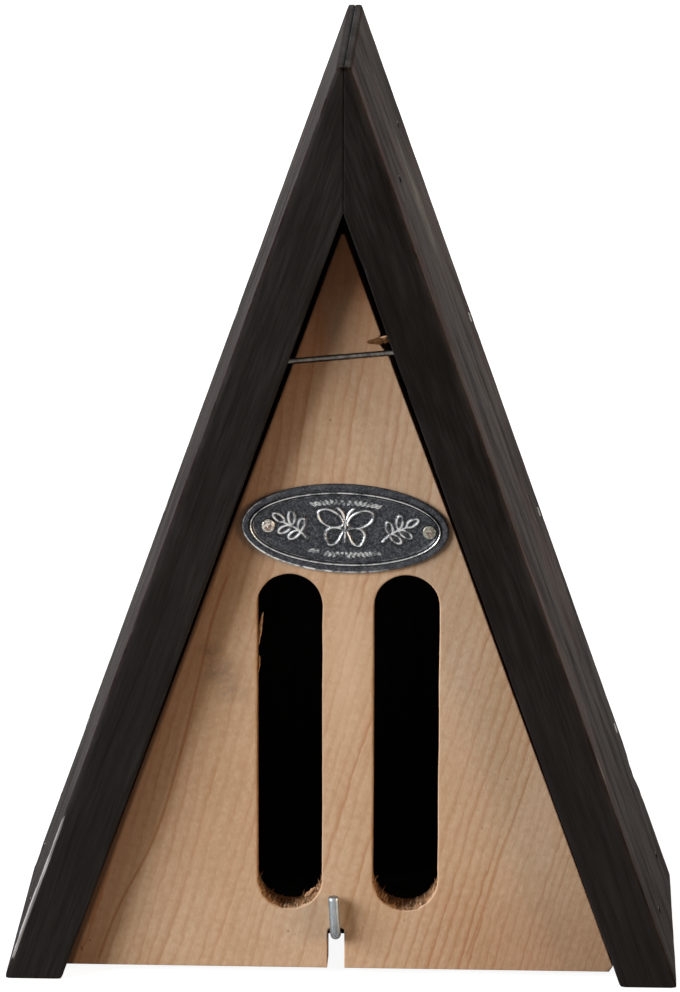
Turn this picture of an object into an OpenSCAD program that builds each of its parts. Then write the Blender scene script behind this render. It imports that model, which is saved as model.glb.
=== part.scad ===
// Butterfly house: a narrow A-frame roof with a swinging front door panel, millimetres.
// The origin is on the ground, midway between the feet and midway front to back.
// +Z points up to the ridge and the front faces -Y.

/* [Overall size] */
// width across the feet of the two roof boards
base_w = 174; // [160:1:190]
// height from the ground to the flat ridge
house_h = 240; // [225:1:260]
// depth from the front edges to the back edges of the roof boards
house_d = 88; // [80:1:100]
// thickness of a roof board
board_t = 14; // [12:0.5:15]
// width of the flat planed along the ridge
ridge_flat = 3.4; // [2:0.2:5]

/* [Front door] */
// thickness of the door panel
door_t = 10; // [9:0.5:12]
// how far the door sits behind the front edges of the roof
door_recess = 7; // [6:0.5:8]
// gap between door and roof boards at the hinge wire, square to the boards
door_gap = 1.7; // [1.5:0.1:2.3]
// the same gap at the lower edge of the door
door_gap_foot = 1.1; // [0.8:0.1:1.5]
// how far the whole door stands to the left of the middle
door_shift = 0.3; // [0:0.1:0.3]
// size of the chip cut off the lower right corner
door_chip = 1.5; // [1:0.1:2.5]
// height of the lower edge of the door above the ground
door_lift = 1.8; // [1.5:0.1:3.5]
// width of the blunt tip of the door
door_tip_w = 0.9; // [0.6:0.1:2]

/* [Entry slots] */
// width of each round-ended slot
slot_w = 16.8; // [14:0.2:18]
// full length of each slot
slot_len = 90; // [80:0.5:92]
// distance between the middles of the two slots
slot_pitch = 29.8; // [26:0.2:32]
// height of the lower slot ends above the ground
slot_z = 17.7; // [17.7:0.1:22]
// how far the pair stands to the right of the middle
slot_shift = 1.4; // [-2:0.1:2]

/* [Hinge wire] */
// thickness of the wire that the door hangs on
wire_d = 1.2; // [1:0.1:1.6]
// height of the middle of the wire above the ground
wire_z = 164.5; // [160:0.1:169]
// how far the wire slopes down to the left, in degrees
wire_tilt = 5.5; // [0:0.5:6]
// depth of the middle of the wire behind the door face
wire_depth = 0.9; // [0.8:0.1:1.2]
// width of the saw kerf that holds the wire
kerf_w = 1.6; // [1.5:0.1:2.2]
// length of wire held in each roof board
wire_grip = 6; // [4:0.5:7]
// radial play of the wire ends in the roof boards
wire_play = 0.08; // [0.05:0.01:0.1]

/* [Floor and back] */
// thickness of the floor board
floor_t = 10; // [9:0.5:10]
// height of the underside of the floor above the ground
floor_lift = 7.6; // [7.2:0.1:7.6]
// clear gap between the closed door and the floor board
floor_gap = 0.2; // [0.1:0.1:0.4]
// thickness of the back panel
back_t = 10; // [9:0.5:12]
// how far the back panel sits inside the back edges
back_recess = 3; // [3:0.5:5]

/* [Latch hook] */
// thickness of the hook rod
hook_d = 2.7; // [2.4:0.1:2.8]
// height of the screwed-in shank above the ground
hook_z = 11.05; // [11.05:0.05:11.5]
// how far the shank stands to the left of the middle
hook_shift = 1.5; // [0:0.1:3]
// reach of the upright arm above the middle of the shank
hook_reach = 10.9; // [9:0.1:10.9]
// clear gap between the arm and the door face
hook_gap = 0.65; // [0.5:0.05:0.8]
// radius of the bend along the middle of the rod
hook_bend = 2.4; // [2.2:0.1:2.6]
// length of shank held in the floor board
hook_grip = 16; // [12:0.5:20]
// lean of the arm to the left at rest, in degrees
hook_lean = 3; // [0:0.5:5]
// radial play of the shank in the floor board
hook_play = 0.06; // [0.03:0.01:0.1]
// width of the notch that the hook passes through
notch_w = 4.4; // [4.2:0.1:5.5]
// clear height of the notch above the shank
notch_head = 0.3; // [0.3:0.1:1]
// radius in the upper corners of the notch
notch_r = 1; // [0.6:0.1:1.4]

/* [Label plate] */
// length of the oval plate
label_w = 52.7; // [46:0.1:54]
// height of the oval plate
label_h = 23.3; // [20:0.1:24]
// thickness of the pressed sheet
label_t = 0.8; // [0.6:0.1:1.2]
// how far the ring and the relief stand above the sheet
label_relief = 0.6; // [0.4:0.1:0.9]
// distance from the edge of the plate to its raised ring
label_flange = 1.9; // [1.2:0.1:2.5]
// width of the raised ring
label_ring = 0.9; // [0.6:0.1:1.4]
// height of the middle of the plate above the ground
label_z = 120; // [119.5:0.1:121]
// how far the plate stands to the right of the middle
label_shift = 0.6; // [-2:0.1:2]
// slope of the plate, its right end down, in degrees
label_tilt = 1.8; // [0:0.1:4]
// distance between the two nails of the plate
label_pin_pitch = 41; // [38:0.5:42]
// how far the pair of nails stands to the right of the middle of the plate
label_pin_shift = 0.9; // [-1:0.1:1]
// diameter of the nail heads on the plate
label_pin_head = 3.6; // [3:0.1:4]
// diameter of the nail shanks in the plate
label_pin_d = 1.2; // [1:0.1:1.4]
// length of the nail shanks below their heads
label_pin_len = 8; // [6:0.5:8.5]

/* [Nails] */
// diameter of a nail shank
nail_d = 1.6; // [1.4:0.1:1.8]
// diameter of a nail head
nail_head_d = 3; // [2.6:0.1:3.4]
// thickness of a nail head
nail_head_t = 0.9; // [0.7:0.1:1.2]
// length of the nails through the roof boards and the back
nail_len = 25; // [23:0.5:26]
// length of the nails across the ridge joint
ridge_nail_len = 20; // [18:0.5:20]
// depth of the sunk nail heads below the wood
nail_sink = 0.3; // [0.2:0.1:0.5]
// radial play around nails and screws
nail_play = 0.04; // [0.02:0.01:0.1]

/* [Keyhole hanger] */
// height of the round part of the keyhole above the ground
hang_z = 138; // [130:1:145]
// length of the hanger plate
hang_len = 42; // [38:1:46]
// width of the hanger plate
hang_w = 16; // [14:0.5:18]
// thickness of the hanger plate
hang_t = 1.2; // [1:0.1:1.5]
// diameter of the round part of the keyhole
key_d = 9; // [8:0.5:10]
// width of the narrow part of the keyhole
key_slot_w = 4.4; // [4:0.2:5]
// rise from the round part to the end of the narrow part
key_rise = 7; // [6:0.5:8]
// depth of the pocket behind the keyhole
pocket_depth = 6; // [5:0.5:7]
// distance from the keyhole to each screw
hang_screw_pitch = 15.5; // [14:0.5:17]
// diameter of the hanger screws
hang_screw_d = 2.6; // [2:0.1:3]
// diameter of the rounded heads of the hanger screws
hang_screw_head = 5; // [4:0.2:5.6]
// height of the heads of the hanger screws
hang_screw_head_t = 1.3; // [1:0.1:1.5]
// length of the hanger screws below their heads
hang_screw_len = 9; // [7:0.5:9.5]

/* [Hidden] */
$fn = 64;
eps = 0.01;
cut = 1;
slope = (base_w - ridge_flat) / 2 / house_h;
slope_a = atan(slope);
peak_h = base_w / 2 / slope;
board_run = board_t / cos(slope_a);
inner_peak = peak_h - board_t / sin(slope_a);
front_y = -house_d / 2;
back_y = house_d / 2;
door_y0 = front_y + door_recess;
door_y1 = door_y0 + door_t;
gap_rise = (door_gap - door_gap_foot) / (wire_z - door_lift);
door_slope = slope + gap_rise / cos(slope_a);
door_half = (inner_peak - door_lift) * slope - door_gap_foot / cos(slope_a);
door_tip_z = door_lift + (door_half - door_tip_w / 2) / door_slope;
back_y1 = back_y - back_recess;
back_y0 = back_y1 - back_t;
floor_y0 = door_y1 + floor_gap;
floor_z1 = floor_lift + floor_t;
wire_y = door_y0 + wire_depth;
wire_half = ((inner_peak - wire_z) * slope + wire_grip) / cos(wire_tilt);
hook_y = door_y0 - hook_gap - hook_d / 2;
notch_top = hook_z + hook_d / 2 + notch_head;
back_nail_z = [45, 105, 158];
floor_nail_y = [-20, 25];
floor_nail_z = floor_lift + floor_t / 2;
ridge_nail_y = [-19, 27];
ridge_nail_z = [inner_peak + 3.4, inner_peak + 8.1];
back_floor_x = [-38, 38];
back_floor_z = floor_lift + floor_t / 2;

// a flat shape drawn in X and Z, made solid from y0 to y1
module slab(y0, y1) {
    translate([0, y1, 0]) rotate([90, 0, 0]) linear_extrude(height = y1 - y0) children();
}

// a point on the outer face of the right roof board, with its outward side as local +Z
module on_right(y, z) {
    translate([(peak_h - z) * slope, y, z]) rotate([0, 90 - slope_a, 0]) children();
}

// one nail pointing down local -Z, with the top of its head sunk below zero
module nail(len, play = 0) {
    translate([0, 0, -nail_sink - nail_head_t - play])
        cylinder(d = nail_head_d + 2 * play, h = nail_head_t + play + (play > 0 ? cut : 0));
    translate([0, 0, -nail_sink - nail_head_t - len + 2])
        cylinder(d = nail_d + 2 * play, h = len - 2 + eps);
    if (play == 0)
        translate([0, 0, -nail_sink - nail_head_t - len])
            cylinder(d1 = 0.3, d2 = nail_d, h = 2 + eps);
    else
        translate([0, 0, -nail_sink - nail_head_t - len - play])
            cylinder(d = nail_d + 2 * play, h = 2 + play + eps);
}

module back_nails_right(play = 0) {
    for (z = back_nail_z) on_right((back_y0 + back_y1) / 2, z) nail(nail_len, play);
}

// one level nail through the right roof board, its whole head below the outer face
module level_nail(y, z, len, play = 0) {
    translate([(peak_h - z - nail_head_d / 2) * slope, y, z]) rotate([0, 90, 0]) nail(len, play);
}

module floor_nails_right(play = 0) {
    for (y = floor_nail_y) level_nail(y, floor_nail_z, nail_len, play);
}

// nails through the right roof board into the mitre of the left one
module ridge_nail_set(play = 0) {
    for (i = [0, 1]) level_nail(ridge_nail_y[i], ridge_nail_z[i], ridge_nail_len, play);
}

module back_floor_set(play = 0) {
    for (x = back_floor_x)
        translate([x, back_y1, back_floor_z]) rotate([-90, 0, 0]) nail(nail_len, play);
}

// the wire, along its own sloping line
module wire_rod(d, half) {
    translate([0, wire_y, wire_z]) rotate([0, 90 - wire_tilt, 0])
        cylinder(d = d, h = 2 * half, center = true);
}

module roof_shape() {
    polygon([[base_w / 2, 0], [ridge_flat / 2, house_h], [0, house_h],
             [0, inner_peak], [base_w / 2 - board_run, 0]]);
}

module roof_board_right() {
    color([0.16, 0.14, 0.13]) difference() {
        slab(front_y, back_y) roof_shape();
        back_nails_right(nail_play);
        floor_nails_right(nail_play);
        ridge_nail_set(nail_play);
        wire_rod(wire_d + 2 * wire_play, wire_half + 0.2);
    }
}

module roof_board_left() {
    color([0.16, 0.14, 0.13]) difference() {
        mirror([1, 0, 0]) slab(front_y, back_y) roof_shape();
        mirror([1, 0, 0]) back_nails_right(nail_play);
        mirror([1, 0, 0]) floor_nails_right(nail_play);
        ridge_nail_set(nail_play);
        wire_rod(wire_d + 2 * wire_play, wire_half + 0.2);
    }
}

module slot_shape() {
    translate([0, slot_z + slot_w / 2]) circle(d = slot_w);
    translate([0, slot_z + slot_len - slot_w / 2]) circle(d = slot_w);
    translate([-slot_w / 2, slot_z + slot_w / 2]) square([slot_w, slot_len - slot_w]);
}

// the notch over the hook, open at the bottom and rounded in its upper corners
module notch_shape() {
    translate([-notch_w / 2, door_lift - cut])
        square([notch_w, notch_top - notch_r - door_lift + cut]);
    translate([-notch_w / 2 + notch_r, notch_top - 2 * notch_r])
        square([notch_w - 2 * notch_r, 2 * notch_r]);
    for (x = [-1, 1])
        translate([x * (notch_w / 2 - notch_r), notch_top - notch_r]) circle(r = notch_r, $fn = 32);
}

module label_pins(play = 0) {
    translate([label_shift, door_y0, label_z]) rotate([0, label_tilt, 0])
        for (x = [-1, 1])
            translate([label_pin_shift + x * label_pin_pitch / 2, 0, 0]) rotate([90, 0, 0]) {
            if (play == 0) {
                translate([0, 0, label_t]) cylinder(d = label_pin_head, h = 0.4);
                translate([0, 0, label_t + 0.4])
                    cylinder(d1 = label_pin_head, d2 = label_pin_head - 0.8, h = 0.3);
                translate([0, 0, label_t - label_pin_len + 1.5])
                    cylinder(d = label_pin_d, h = label_pin_len - 1.5 + eps);
                translate([0, 0, label_t - label_pin_len])
                    cylinder(d1 = 0.3, d2 = label_pin_d, h = 1.5 + eps);
            } else
                translate([0, 0, label_t - label_pin_len - play])
                    cylinder(d = label_pin_d + 2 * play, h = label_pin_len + cut);
        }
}

module front_door() {
    color([0.76, 0.62, 0.46]) difference() {
        slab(door_y0, door_y1) difference() {
            translate([-door_shift, 0])
                polygon([[-door_half, door_lift], [door_half - door_chip, door_lift],
                         [door_half - door_chip * door_slope, door_lift + door_chip],
                         [door_tip_w / 2, door_tip_z], [-door_tip_w / 2, door_tip_z]]);
            for (s = [-1, 1]) translate([slot_shift + s * slot_pitch / 2, 0]) slot_shape();
            translate([-hook_shift, 0]) notch_shape();
        }
        // saw kerf for the hinge wire, a little taller above the wire than below it
        translate([0, wire_y, wire_z]) rotate([0, -wire_tilt, 0])
            translate([-40, -wire_depth - cut, -wire_d / 2 - 0.05])
                cube([80, wire_depth + cut + wire_d / 2 + 0.05, kerf_w]);
        label_pins(nail_play);
    }
}

// the flat cross-section that fills the roof between two heights
module inside_shape(z0, z1) {
    polygon([[-(inner_peak - z0) * slope, z0], [(inner_peak - z0) * slope, z0],
             [(inner_peak - z1) * slope, z1], [-(inner_peak - z1) * slope, z1]]);
}

// the narrow pocket and the keyhole share this outline
module keyhole_shape(d, w, rise) {
    translate([0, hang_z]) circle(d = d);
    translate([-w / 2, hang_z]) square([w, rise]);
    translate([0, hang_z + rise]) circle(d = w);
}

module hanger_screw_set(play = 0) {
    for (s = [-1, 1])
        translate([0, back_y1 + hang_t, hang_z + s * hang_screw_pitch]) rotate([-90, 0, 0]) {
            if (play == 0) {
                cylinder(d = hang_screw_head, h = 0.5);
                translate([0, 0, 0.5]) cylinder(d1 = hang_screw_head,
                    d2 = hang_screw_head - 2, h = hang_screw_head_t - 0.5);
                translate([0, 0, 2 - hang_screw_len])
                    cylinder(d = hang_screw_d, h = hang_screw_len - 2 + eps);
                translate([0, 0, -hang_screw_len])
                    cylinder(d1 = 0.4, d2 = hang_screw_d, h = 2 + eps);
            } else
                translate([0, 0, -hang_screw_len - play])
                    cylinder(d = hang_screw_d + 2 * play, h = hang_screw_len + play + cut);
        }
}

module back_panel() {
    color([0.24, 0.20, 0.17]) difference() {
        slab(back_y0, back_y1)
            polygon([[-(inner_peak - door_lift) * slope, door_lift],
                     [(inner_peak - door_lift) * slope, door_lift], [0, inner_peak]]);
        back_nails_right(nail_play);
        mirror([1, 0, 0]) back_nails_right(nail_play);
        back_floor_set(nail_play);
        slab(back_y1 - pocket_depth, back_y1 + cut) keyhole_shape(key_d + 2, key_d + 2, key_rise);
        hanger_screw_set(nail_play);
    }
}

module floor_board() {
    color([0.24, 0.20, 0.17]) difference() {
        slab(floor_y0, back_y0) inside_shape(floor_lift, floor_z1);
        floor_nails_right(nail_play);
        mirror([1, 0, 0]) floor_nails_right(nail_play);
        back_floor_set(nail_play);
        translate([-hook_shift, floor_y0 - cut, hook_z]) rotate([-90, 0, 0])
            cylinder(d = hook_d + 2 * hook_play, h = hook_grip + cut + 0.5);
    }
}

module hinge_wire() {
    color([0.72, 0.73, 0.74]) wire_rod(wire_d, wire_half);
}

// square-bent hook: the shank lies along Y and the arm stands up in front of the door
module latch_hook() {
    color([0.66, 0.67, 0.68]) translate([-hook_shift, 0, hook_z]) rotate([0, -hook_lean, 0]) {
        translate([0, hook_y + hook_bend - eps, 0]) rotate([-90, 0, 0])
            cylinder(d = hook_d, h = floor_y0 + hook_grip - 3 - hook_y - hook_bend + eps);
        translate([0, floor_y0 + hook_grip - 3 - eps, 0]) rotate([-90, 0, 0])
            cylinder(d1 = hook_d, d2 = 0.6, h = 3);
        translate([0, hook_y + hook_bend, hook_bend]) rotate([0, 90, 0]) rotate([0, 0, -90])
            rotate_extrude(angle = 90) translate([hook_bend, 0]) circle(d = hook_d);
        translate([0, hook_y, hook_bend - eps])
            cylinder(d = hook_d, h = hook_reach - hook_bend - 0.3 + eps);
        translate([0, hook_y, hook_reach - 0.3 - eps])
            cylinder(d1 = hook_d, d2 = hook_d - 0.6, h = 0.3);
    }
}

module oval(w, h) {
    polygon([for (i = [0:95]) [w / 2 * cos(i * 3.75), h / 2 * sin(i * 3.75)]]);
}

// the relief on the plate: one plain butterfly between two leaves
module relief_shape() {
    for (s = [-1, 1]) {
        translate([s * 3.3, 2.2]) circle(d = 6, $fn = 40);
        translate([s * 2.4, -2.5]) circle(d = 4.4, $fn = 40);
        translate([s * 12.5, 0]) intersection() {
            translate([0, 3]) circle(d = 9.4, $fn = 60);
            translate([0, -3]) circle(d = 9.4, $fn = 60);
        }
    }
    translate([-0.6, -4.5]) square([1.2, 8.6]);
    translate([0, 4.1]) circle(d = 1.5, $fn = 32);
}

module label_plate() {
    color([0.42, 0.42, 0.43]) difference() {
        translate([label_shift, door_y0, label_z]) rotate([0, label_tilt, 0]) {
            slab(-label_t, 0) oval(label_w, label_h);
            slab(-label_t - label_relief, -label_t + eps) difference() {
                oval(label_w - 2 * label_flange, label_h - 2 * label_flange);
                oval(label_w - 2 * (label_flange + label_ring),
                     label_h - 2 * (label_flange + label_ring));
            }
            slab(-label_t - label_relief * 0.7, -label_t + eps) relief_shape();
        }
        label_pins(nail_play);
    }
}

module label_nails() {
    color([0.70, 0.69, 0.66]) label_pins();
}

module ridge_nails() {
    color([0.45, 0.44, 0.43]) ridge_nail_set();
}

module back_panel_nails() {
    color([0.45, 0.44, 0.43]) {
        back_nails_right();
        mirror([1, 0, 0]) back_nails_right();
    }
}

module floor_nails() {
    color([0.45, 0.44, 0.43]) {
        floor_nails_right();
        mirror([1, 0, 0]) floor_nails_right();
    }
}

module back_floor_nails() {
    color([0.45, 0.44, 0.43]) back_floor_set();
}

module hanger_plate() {
    color([0.62, 0.62, 0.60]) difference() {
        slab(back_y1, back_y1 + hang_t) difference() {
            union() {
                for (s = [-1, 1])
                    translate([0, hang_z + s * (hang_len - hang_w) / 2]) circle(d = hang_w);
                translate([-hang_w / 2, hang_z - (hang_len - hang_w) / 2])
                    square([hang_w, hang_len - hang_w]);
            }
            keyhole_shape(key_d, key_slot_w, key_rise);
        }
        hanger_screw_set(nail_play);
    }
}

module hanger_screws() {
    color([0.66, 0.66, 0.64]) hanger_screw_set();
}

roof_board_left();
roof_board_right();
front_door();
back_panel();
floor_board();
hinge_wire();
latch_hook();
label_plate();
label_nails();
ridge_nails();
back_panel_nails();
floor_nails();
back_floor_nails();
hanger_plate();
hanger_screws();
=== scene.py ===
import math
import random

import bmesh
import bpy
from mathutils import Matrix, Vector, noise


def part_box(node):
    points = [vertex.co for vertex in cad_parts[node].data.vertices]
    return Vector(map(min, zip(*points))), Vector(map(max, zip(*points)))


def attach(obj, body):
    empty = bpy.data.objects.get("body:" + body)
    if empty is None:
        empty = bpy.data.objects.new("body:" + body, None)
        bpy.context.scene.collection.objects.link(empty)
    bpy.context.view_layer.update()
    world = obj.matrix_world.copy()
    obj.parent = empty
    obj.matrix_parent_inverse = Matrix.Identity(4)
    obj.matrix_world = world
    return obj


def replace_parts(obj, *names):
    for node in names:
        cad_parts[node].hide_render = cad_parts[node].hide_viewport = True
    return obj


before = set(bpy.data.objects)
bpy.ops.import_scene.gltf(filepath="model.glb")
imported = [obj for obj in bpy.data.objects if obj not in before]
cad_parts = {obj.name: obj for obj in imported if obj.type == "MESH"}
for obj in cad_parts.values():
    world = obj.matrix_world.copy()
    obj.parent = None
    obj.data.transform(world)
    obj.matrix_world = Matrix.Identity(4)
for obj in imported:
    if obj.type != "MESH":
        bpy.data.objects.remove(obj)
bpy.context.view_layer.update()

# Lengths in this script are millimetres; MM turns them into the scene's metres
MM = 0.001
BACKWARD = Vector((0, 1, 0))
UP = Vector((0, 0, 1))


def box_of(node):
    """The lowest and highest corner of a CAD node, in millimetres."""
    return [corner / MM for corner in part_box(node)]


# The house, read from the frame; OUTER is how far a board's outer face lies from the origin
roof_low, roof_high = box_of("roof_board_right")
door_low, door_high = box_of("front_door")
back_low, back_high = box_of("back_panel")
hook_low, hook_high = box_of("latch_hook")
HALF_BASE = roof_high.x
HOUSE_TOP = roof_high.z
FRONT = roof_low.y
BACK = roof_high.y
DOOR_FACE = door_low.y
DOOR_BACK = door_high.y
PANEL_FACE = back_high.y
PANEL_MIDDLE = (back_low.y + back_high.y) / 2
RIDGE_FLAT = 3.4
BOARD = 14
SLOPE = (HALF_BASE - RIDGE_FLAT / 2) / HOUSE_TOP
LEAN = math.atan(SLOPE)
PEAK = HALF_BASE / SLOPE
INNER_PEAK = PEAK - BOARD / math.sin(LEAN)
OUTER = HALF_BASE * math.cos(LEAN)

# Entry slots
SLOT_WIDTH = 16.8
SLOT_LENGTH = 90
SLOT_FOOT = 17.7
SLOT_MIDDLES = (1.4 - 14.9, 1.4 + 14.9)
SLOT_BEND = SLOT_FOOT + SLOT_WIDTH / 2

# Hinge wire
WIRE = 1.2
WIRE_HEIGHT = 164.5
WIRE_DEPTH = 0.9
WIRE_TILT = math.radians(5.5)
WIRE_GRIP = 6
WIRE_HALF = ((INNER_PEAK - WIRE_HEIGHT) * SLOPE + WIRE_GRIP) / math.cos(WIRE_TILT)

# Latch hook
HOOK = 2.7
HOOK_PIVOT = Vector((-1.5, 0, 11.05))
HOOK_LINE = hook_low.y + HOOK / 2
HOOK_REACH = 10.9
HOOK_BEND = 2.4
HOOK_LEAN = math.radians(3)

# Label plate: its rows of points are counted inwards from the rim, and FAR_INSIDE stands for any
# gap beyond the rim's ridges. Its two nails come with their place, radius and a seed for the dents
LABEL_MIDDLE = Vector((0.6, DOOR_FACE, 120))
LABEL_HALF = (26.35, 11.65)
LABEL_TURN = Matrix.Rotation(math.radians(1.8), 3, "Y")
LABEL_TOP = 1.4
LABEL_LOW = 0.62
LABEL_SIDES = 288
LABEL_RIM_ROWS = (0, 0.06, 0.18, 0.34, 0.6, 0.9, 1.2, 1.5, 1.7, 1.85, 1.97, 2.09, 2.2, 2.31, 2.43,
                  2.55, 2.67, 2.77, 2.86, 2.95, 3.05, 3.25)
LABEL_INNER_ROWS = 62
FAR_INSIDE = 9
PINS = ((0.9 - 20.5, 1.75, 3.1), (0.9 + 20.5, 1.8, 8.4))
PIN_SIDES = 32

# Nails; they stand out of the wood by their rise
NAIL = 1.6
NAIL_HEAD = 3
NAIL_HEAD_THICK = 1.35
NAIL_LENGTH = 25
NAIL_RISE = 0.15
NAIL_DENTS = 0.06
RIDGE_NAIL_LENGTH = 20
RIDGE_NAIL_PLACES = ((-19, INNER_PEAK + 3.4), (27, INNER_PEAK + 8.1))
BACK_NAIL_HEIGHTS = (45, 105, 158)
FLOOR_NAIL_DEPTHS = (-20, 25)
BACK_FLOOR_NAIL_SIDES = (-38, 38)
FLOOR_MIDDLE = 12.6

# Wear: how far edges are eased, and how far in from a face knocks reach
EASED_BOARD = 0.45
EASED_PANEL = 0.35
EASED_SLOT = 0.45
EASED_PLATE = 0.2
KNOCK_REACH = 1.2

# Rows of points cut across the boards and the door for their wear, as first, last and step; the
# depth rows are single depths below the door's face
BOARD_ROWS = (-28, 226, 2)
FOOT_ROWS = (0.25, 1.6, 0.45)
DOOR_EDGE_ROWS = (6, 158, 8)
DOOR_DEPTH_ROWS = (0.9, 1.8, 3, 4.5, 6.5, 8.5)
TEAR_ROWS = (165.6, 170.8, 0.4)

# Heights: of the chipped strip on the left board, below which the door is a little wider than in
# the CAD, and of the tear near the door's tip
BARE_LOW, BARE_HIGH = 4, 51
WIDER_BELOW = 158
TEAR_LOW, TEAR_MIDDLE, TEAR_HIGH = 166, 168.2, 170.6

# Splinters in the slots
SPLINTER = 0.5
SPLINTER_LENGTH = 1.6
SPLINTER_BEND = 0.25
SPLINTERS_PER_SLOT = 46

# The camera that took the photograph, found by fitting the edges of the house
CAMERA_PLACE = (47.6, -1448.5, 508.1)
CAMERA_YAW = math.radians(-1.963)
CAMERA_PITCH = math.radians(-15.048)
CAMERA_ROLL = math.radians(0.194)
FOCAL_PIXELS = 5774.1
PHOTO_HEIGHT = 992

# Colours as a renderer takes them, linear red, green and blue
WOOD_PALE = (0.564, 0.400, 0.270)
WOOD_DEEP = (0.496, 0.333, 0.205)
WOOD_PINK = (0.560, 0.350, 0.232)
# Pale wood for flecks, and for a painted patch of light in the middle of the door
WOOD_LIGHT = (0.660, 0.480, 0.330)
WOOD_FIBRE = (0.390, 0.228, 0.118)
WOOD_LINE = (0.320, 0.125, 0.040)
WOOD_RIM = (0.400, 0.262, 0.165)
# Painted shade on the door in the narrow gap beside the left roof board
WOOD_GAP_SHADE = (0.060, 0.026, 0.010)
WOOD_SPECK = (0.120, 0.055, 0.025)
WOOD_DIRT = (0.170, 0.115, 0.085)
SAWN_DARK = (0.260, 0.125, 0.050)
TORN_DEEP = (0.075, 0.026, 0.006)
TORN_PALE = (0.155, 0.060, 0.014)
STAIN = (0.0078, 0.0063, 0.0056)
STAIN_LIGHT = (0.0100, 0.0082, 0.0073)
STAIN_DARK = (0.0050, 0.0039, 0.0035)
STAIN_RED = (0.0130, 0.0088, 0.0074)
STAIN_GREY = (0.0125, 0.0112, 0.0104)
STAIN_OUT = (0.0170, 0.0120, 0.0100)
STAIN_OUT_DARK = (0.0056, 0.0037, 0.0031)
STAIN_OUT_RED = (0.0235, 0.0140, 0.0128)
STAIN_CHALK = (0.0640, 0.0660, 0.0640)
STAIN_SCUFF = (0.0800, 0.0830, 0.0850)
# Worn arrises, with a painted highlight along the back ones
STAIN_WORN_AND_HIGHLIT = (0.0300, 0.0255, 0.0235)
CHIPPED = (0.2100, 0.1960, 0.1880)
CHIPPED_DARK = (0.0800, 0.0700, 0.0650)
# Painted bounce light: the door's brown on the boards' inner faces in front of it
INNER_BOUNCE_BROWN = (0.0420, 0.0200, 0.0085)
INNER_DEEP = (0.0160, 0.0130, 0.0110)
INNER_PALE = (0.0340, 0.0260, 0.0210)
INNER_LINE = (0.0070, 0.0055, 0.0050)
INNER_RED = (0.0420, 0.0270, 0.0200)
# Painted shade that turns the inside of the house almost black
INNER_SHADE_BLACK = (0.0030, 0.0026, 0.0024)
PEWTER_WASH = (0.0090, 0.0095, 0.0110)
PEWTER_FIELD = (0.0330, 0.0345, 0.0400)
PEWTER_GRIT = (0.0950, 0.0970, 0.1020)
PEWTER_BRIGHT = (0.5200, 0.5200, 0.5100)
PIN_BRIGHT = (0.620, 0.590, 0.540)
PIN_DULL = (0.220, 0.200, 0.170)
PIN_RUST = (0.135, 0.050, 0.022)
RIGHT_PIN_BRIGHT = (0.300, 0.310, 0.260)
RIGHT_PIN_DULL = (0.110, 0.110, 0.085)
IRON_STAINED = (0.045, 0.040, 0.037)
IRON_BARE = (0.210, 0.205, 0.200)
IRON_RUST = (0.115, 0.040, 0.016)
WIRE_ZINC = (0.160, 0.145, 0.130)
HOOK_ZINC = (0.270, 0.290, 0.300)
HANGER_ZINC = (0.160, 0.160, 0.158)
SCREW_ZINC = (0.210, 0.205, 0.200)

# Studio: light from all sides, floor, and lamps with their place, aim, size, power and colour
SKY = (1, 0.9, 0.8, 1)
SKY_STRENGTH = 0.02
FLOOR_GREY = (0.25, 0.25, 0.25, 1)
LAMPS = (
    ("lamp_left", (-1150, -480, 560), (0, 0, 110), 760, 42, (0.93, 0.96, 1)),
    ("lamp_right", (1250, -300, 300), (0, 0, 90), 700, 21, (1, 0.74, 0.48)),
    ("lamp_back", (-300, 1500, 700), (0, 0, 110), 900, 24, (1, 1, 1)),
)

# What a colour is multiplied by: painted shade towards the door's tip and beside its edges, and a darker
# tone on the left board
TIP_SHADE_SHARE = (0.72, 0.54, 0.40)
EDGE_SHADE_SHARE = (0.70, 0.56, 0.48)
WARM_SHARE = (0.60, 0.52, 0.47)

# What a thinner stain adds to the fronts of the boards
THIN_STAIN = (0.0060, 0.0055, 0.0054)

# Darkness of one growth ring from its early to its late wood
RING_PROFILE = ((0, 0.35), (0.12, 0.05), (0.45, 0.12), (0.72, 0.55), (0.88, 1), (1, 0.35))

# Two grain lines that stand out on the door, as places (x, z) on its face
LEFT_GRAIN_LINE = ((-27.7, 111), (-33.3, 95), (-35.8, 84), (-41.6, 59), (-47.9, 38), (-58.4, 16),
                   (-63.3, 2.5))
RIGHT_GRAIN_LINE = ((49.4, 60), (43.8, 42), (40.3, 32), (36.4, 18), (32.2, 5))

# Marks on the door's face and a painted patch of light: x, z, half the width and half the height
SMUDGES = ((-28.2, 76, 7, 4), (-34, 87, 5, 4), (-31, 81, 9, 6))
PORES = ((-67.4, 6.2, 0.5, 1.1), (-65.2, 8.4, 0.45, 0.5), (-3.3, 148.2, 0.5, 0.45),
         (-13.8, 11.7, 0.45, 0.5), (42.3, 53.8, 0.45, 0.45), (70.2, 2, 2.4, 2))
TIP_STREAK = (-5.5, 171, 2.6, 14)
PAINTED_LIGHT_MIDDLE = (1, 84, 9, 40)

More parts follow.
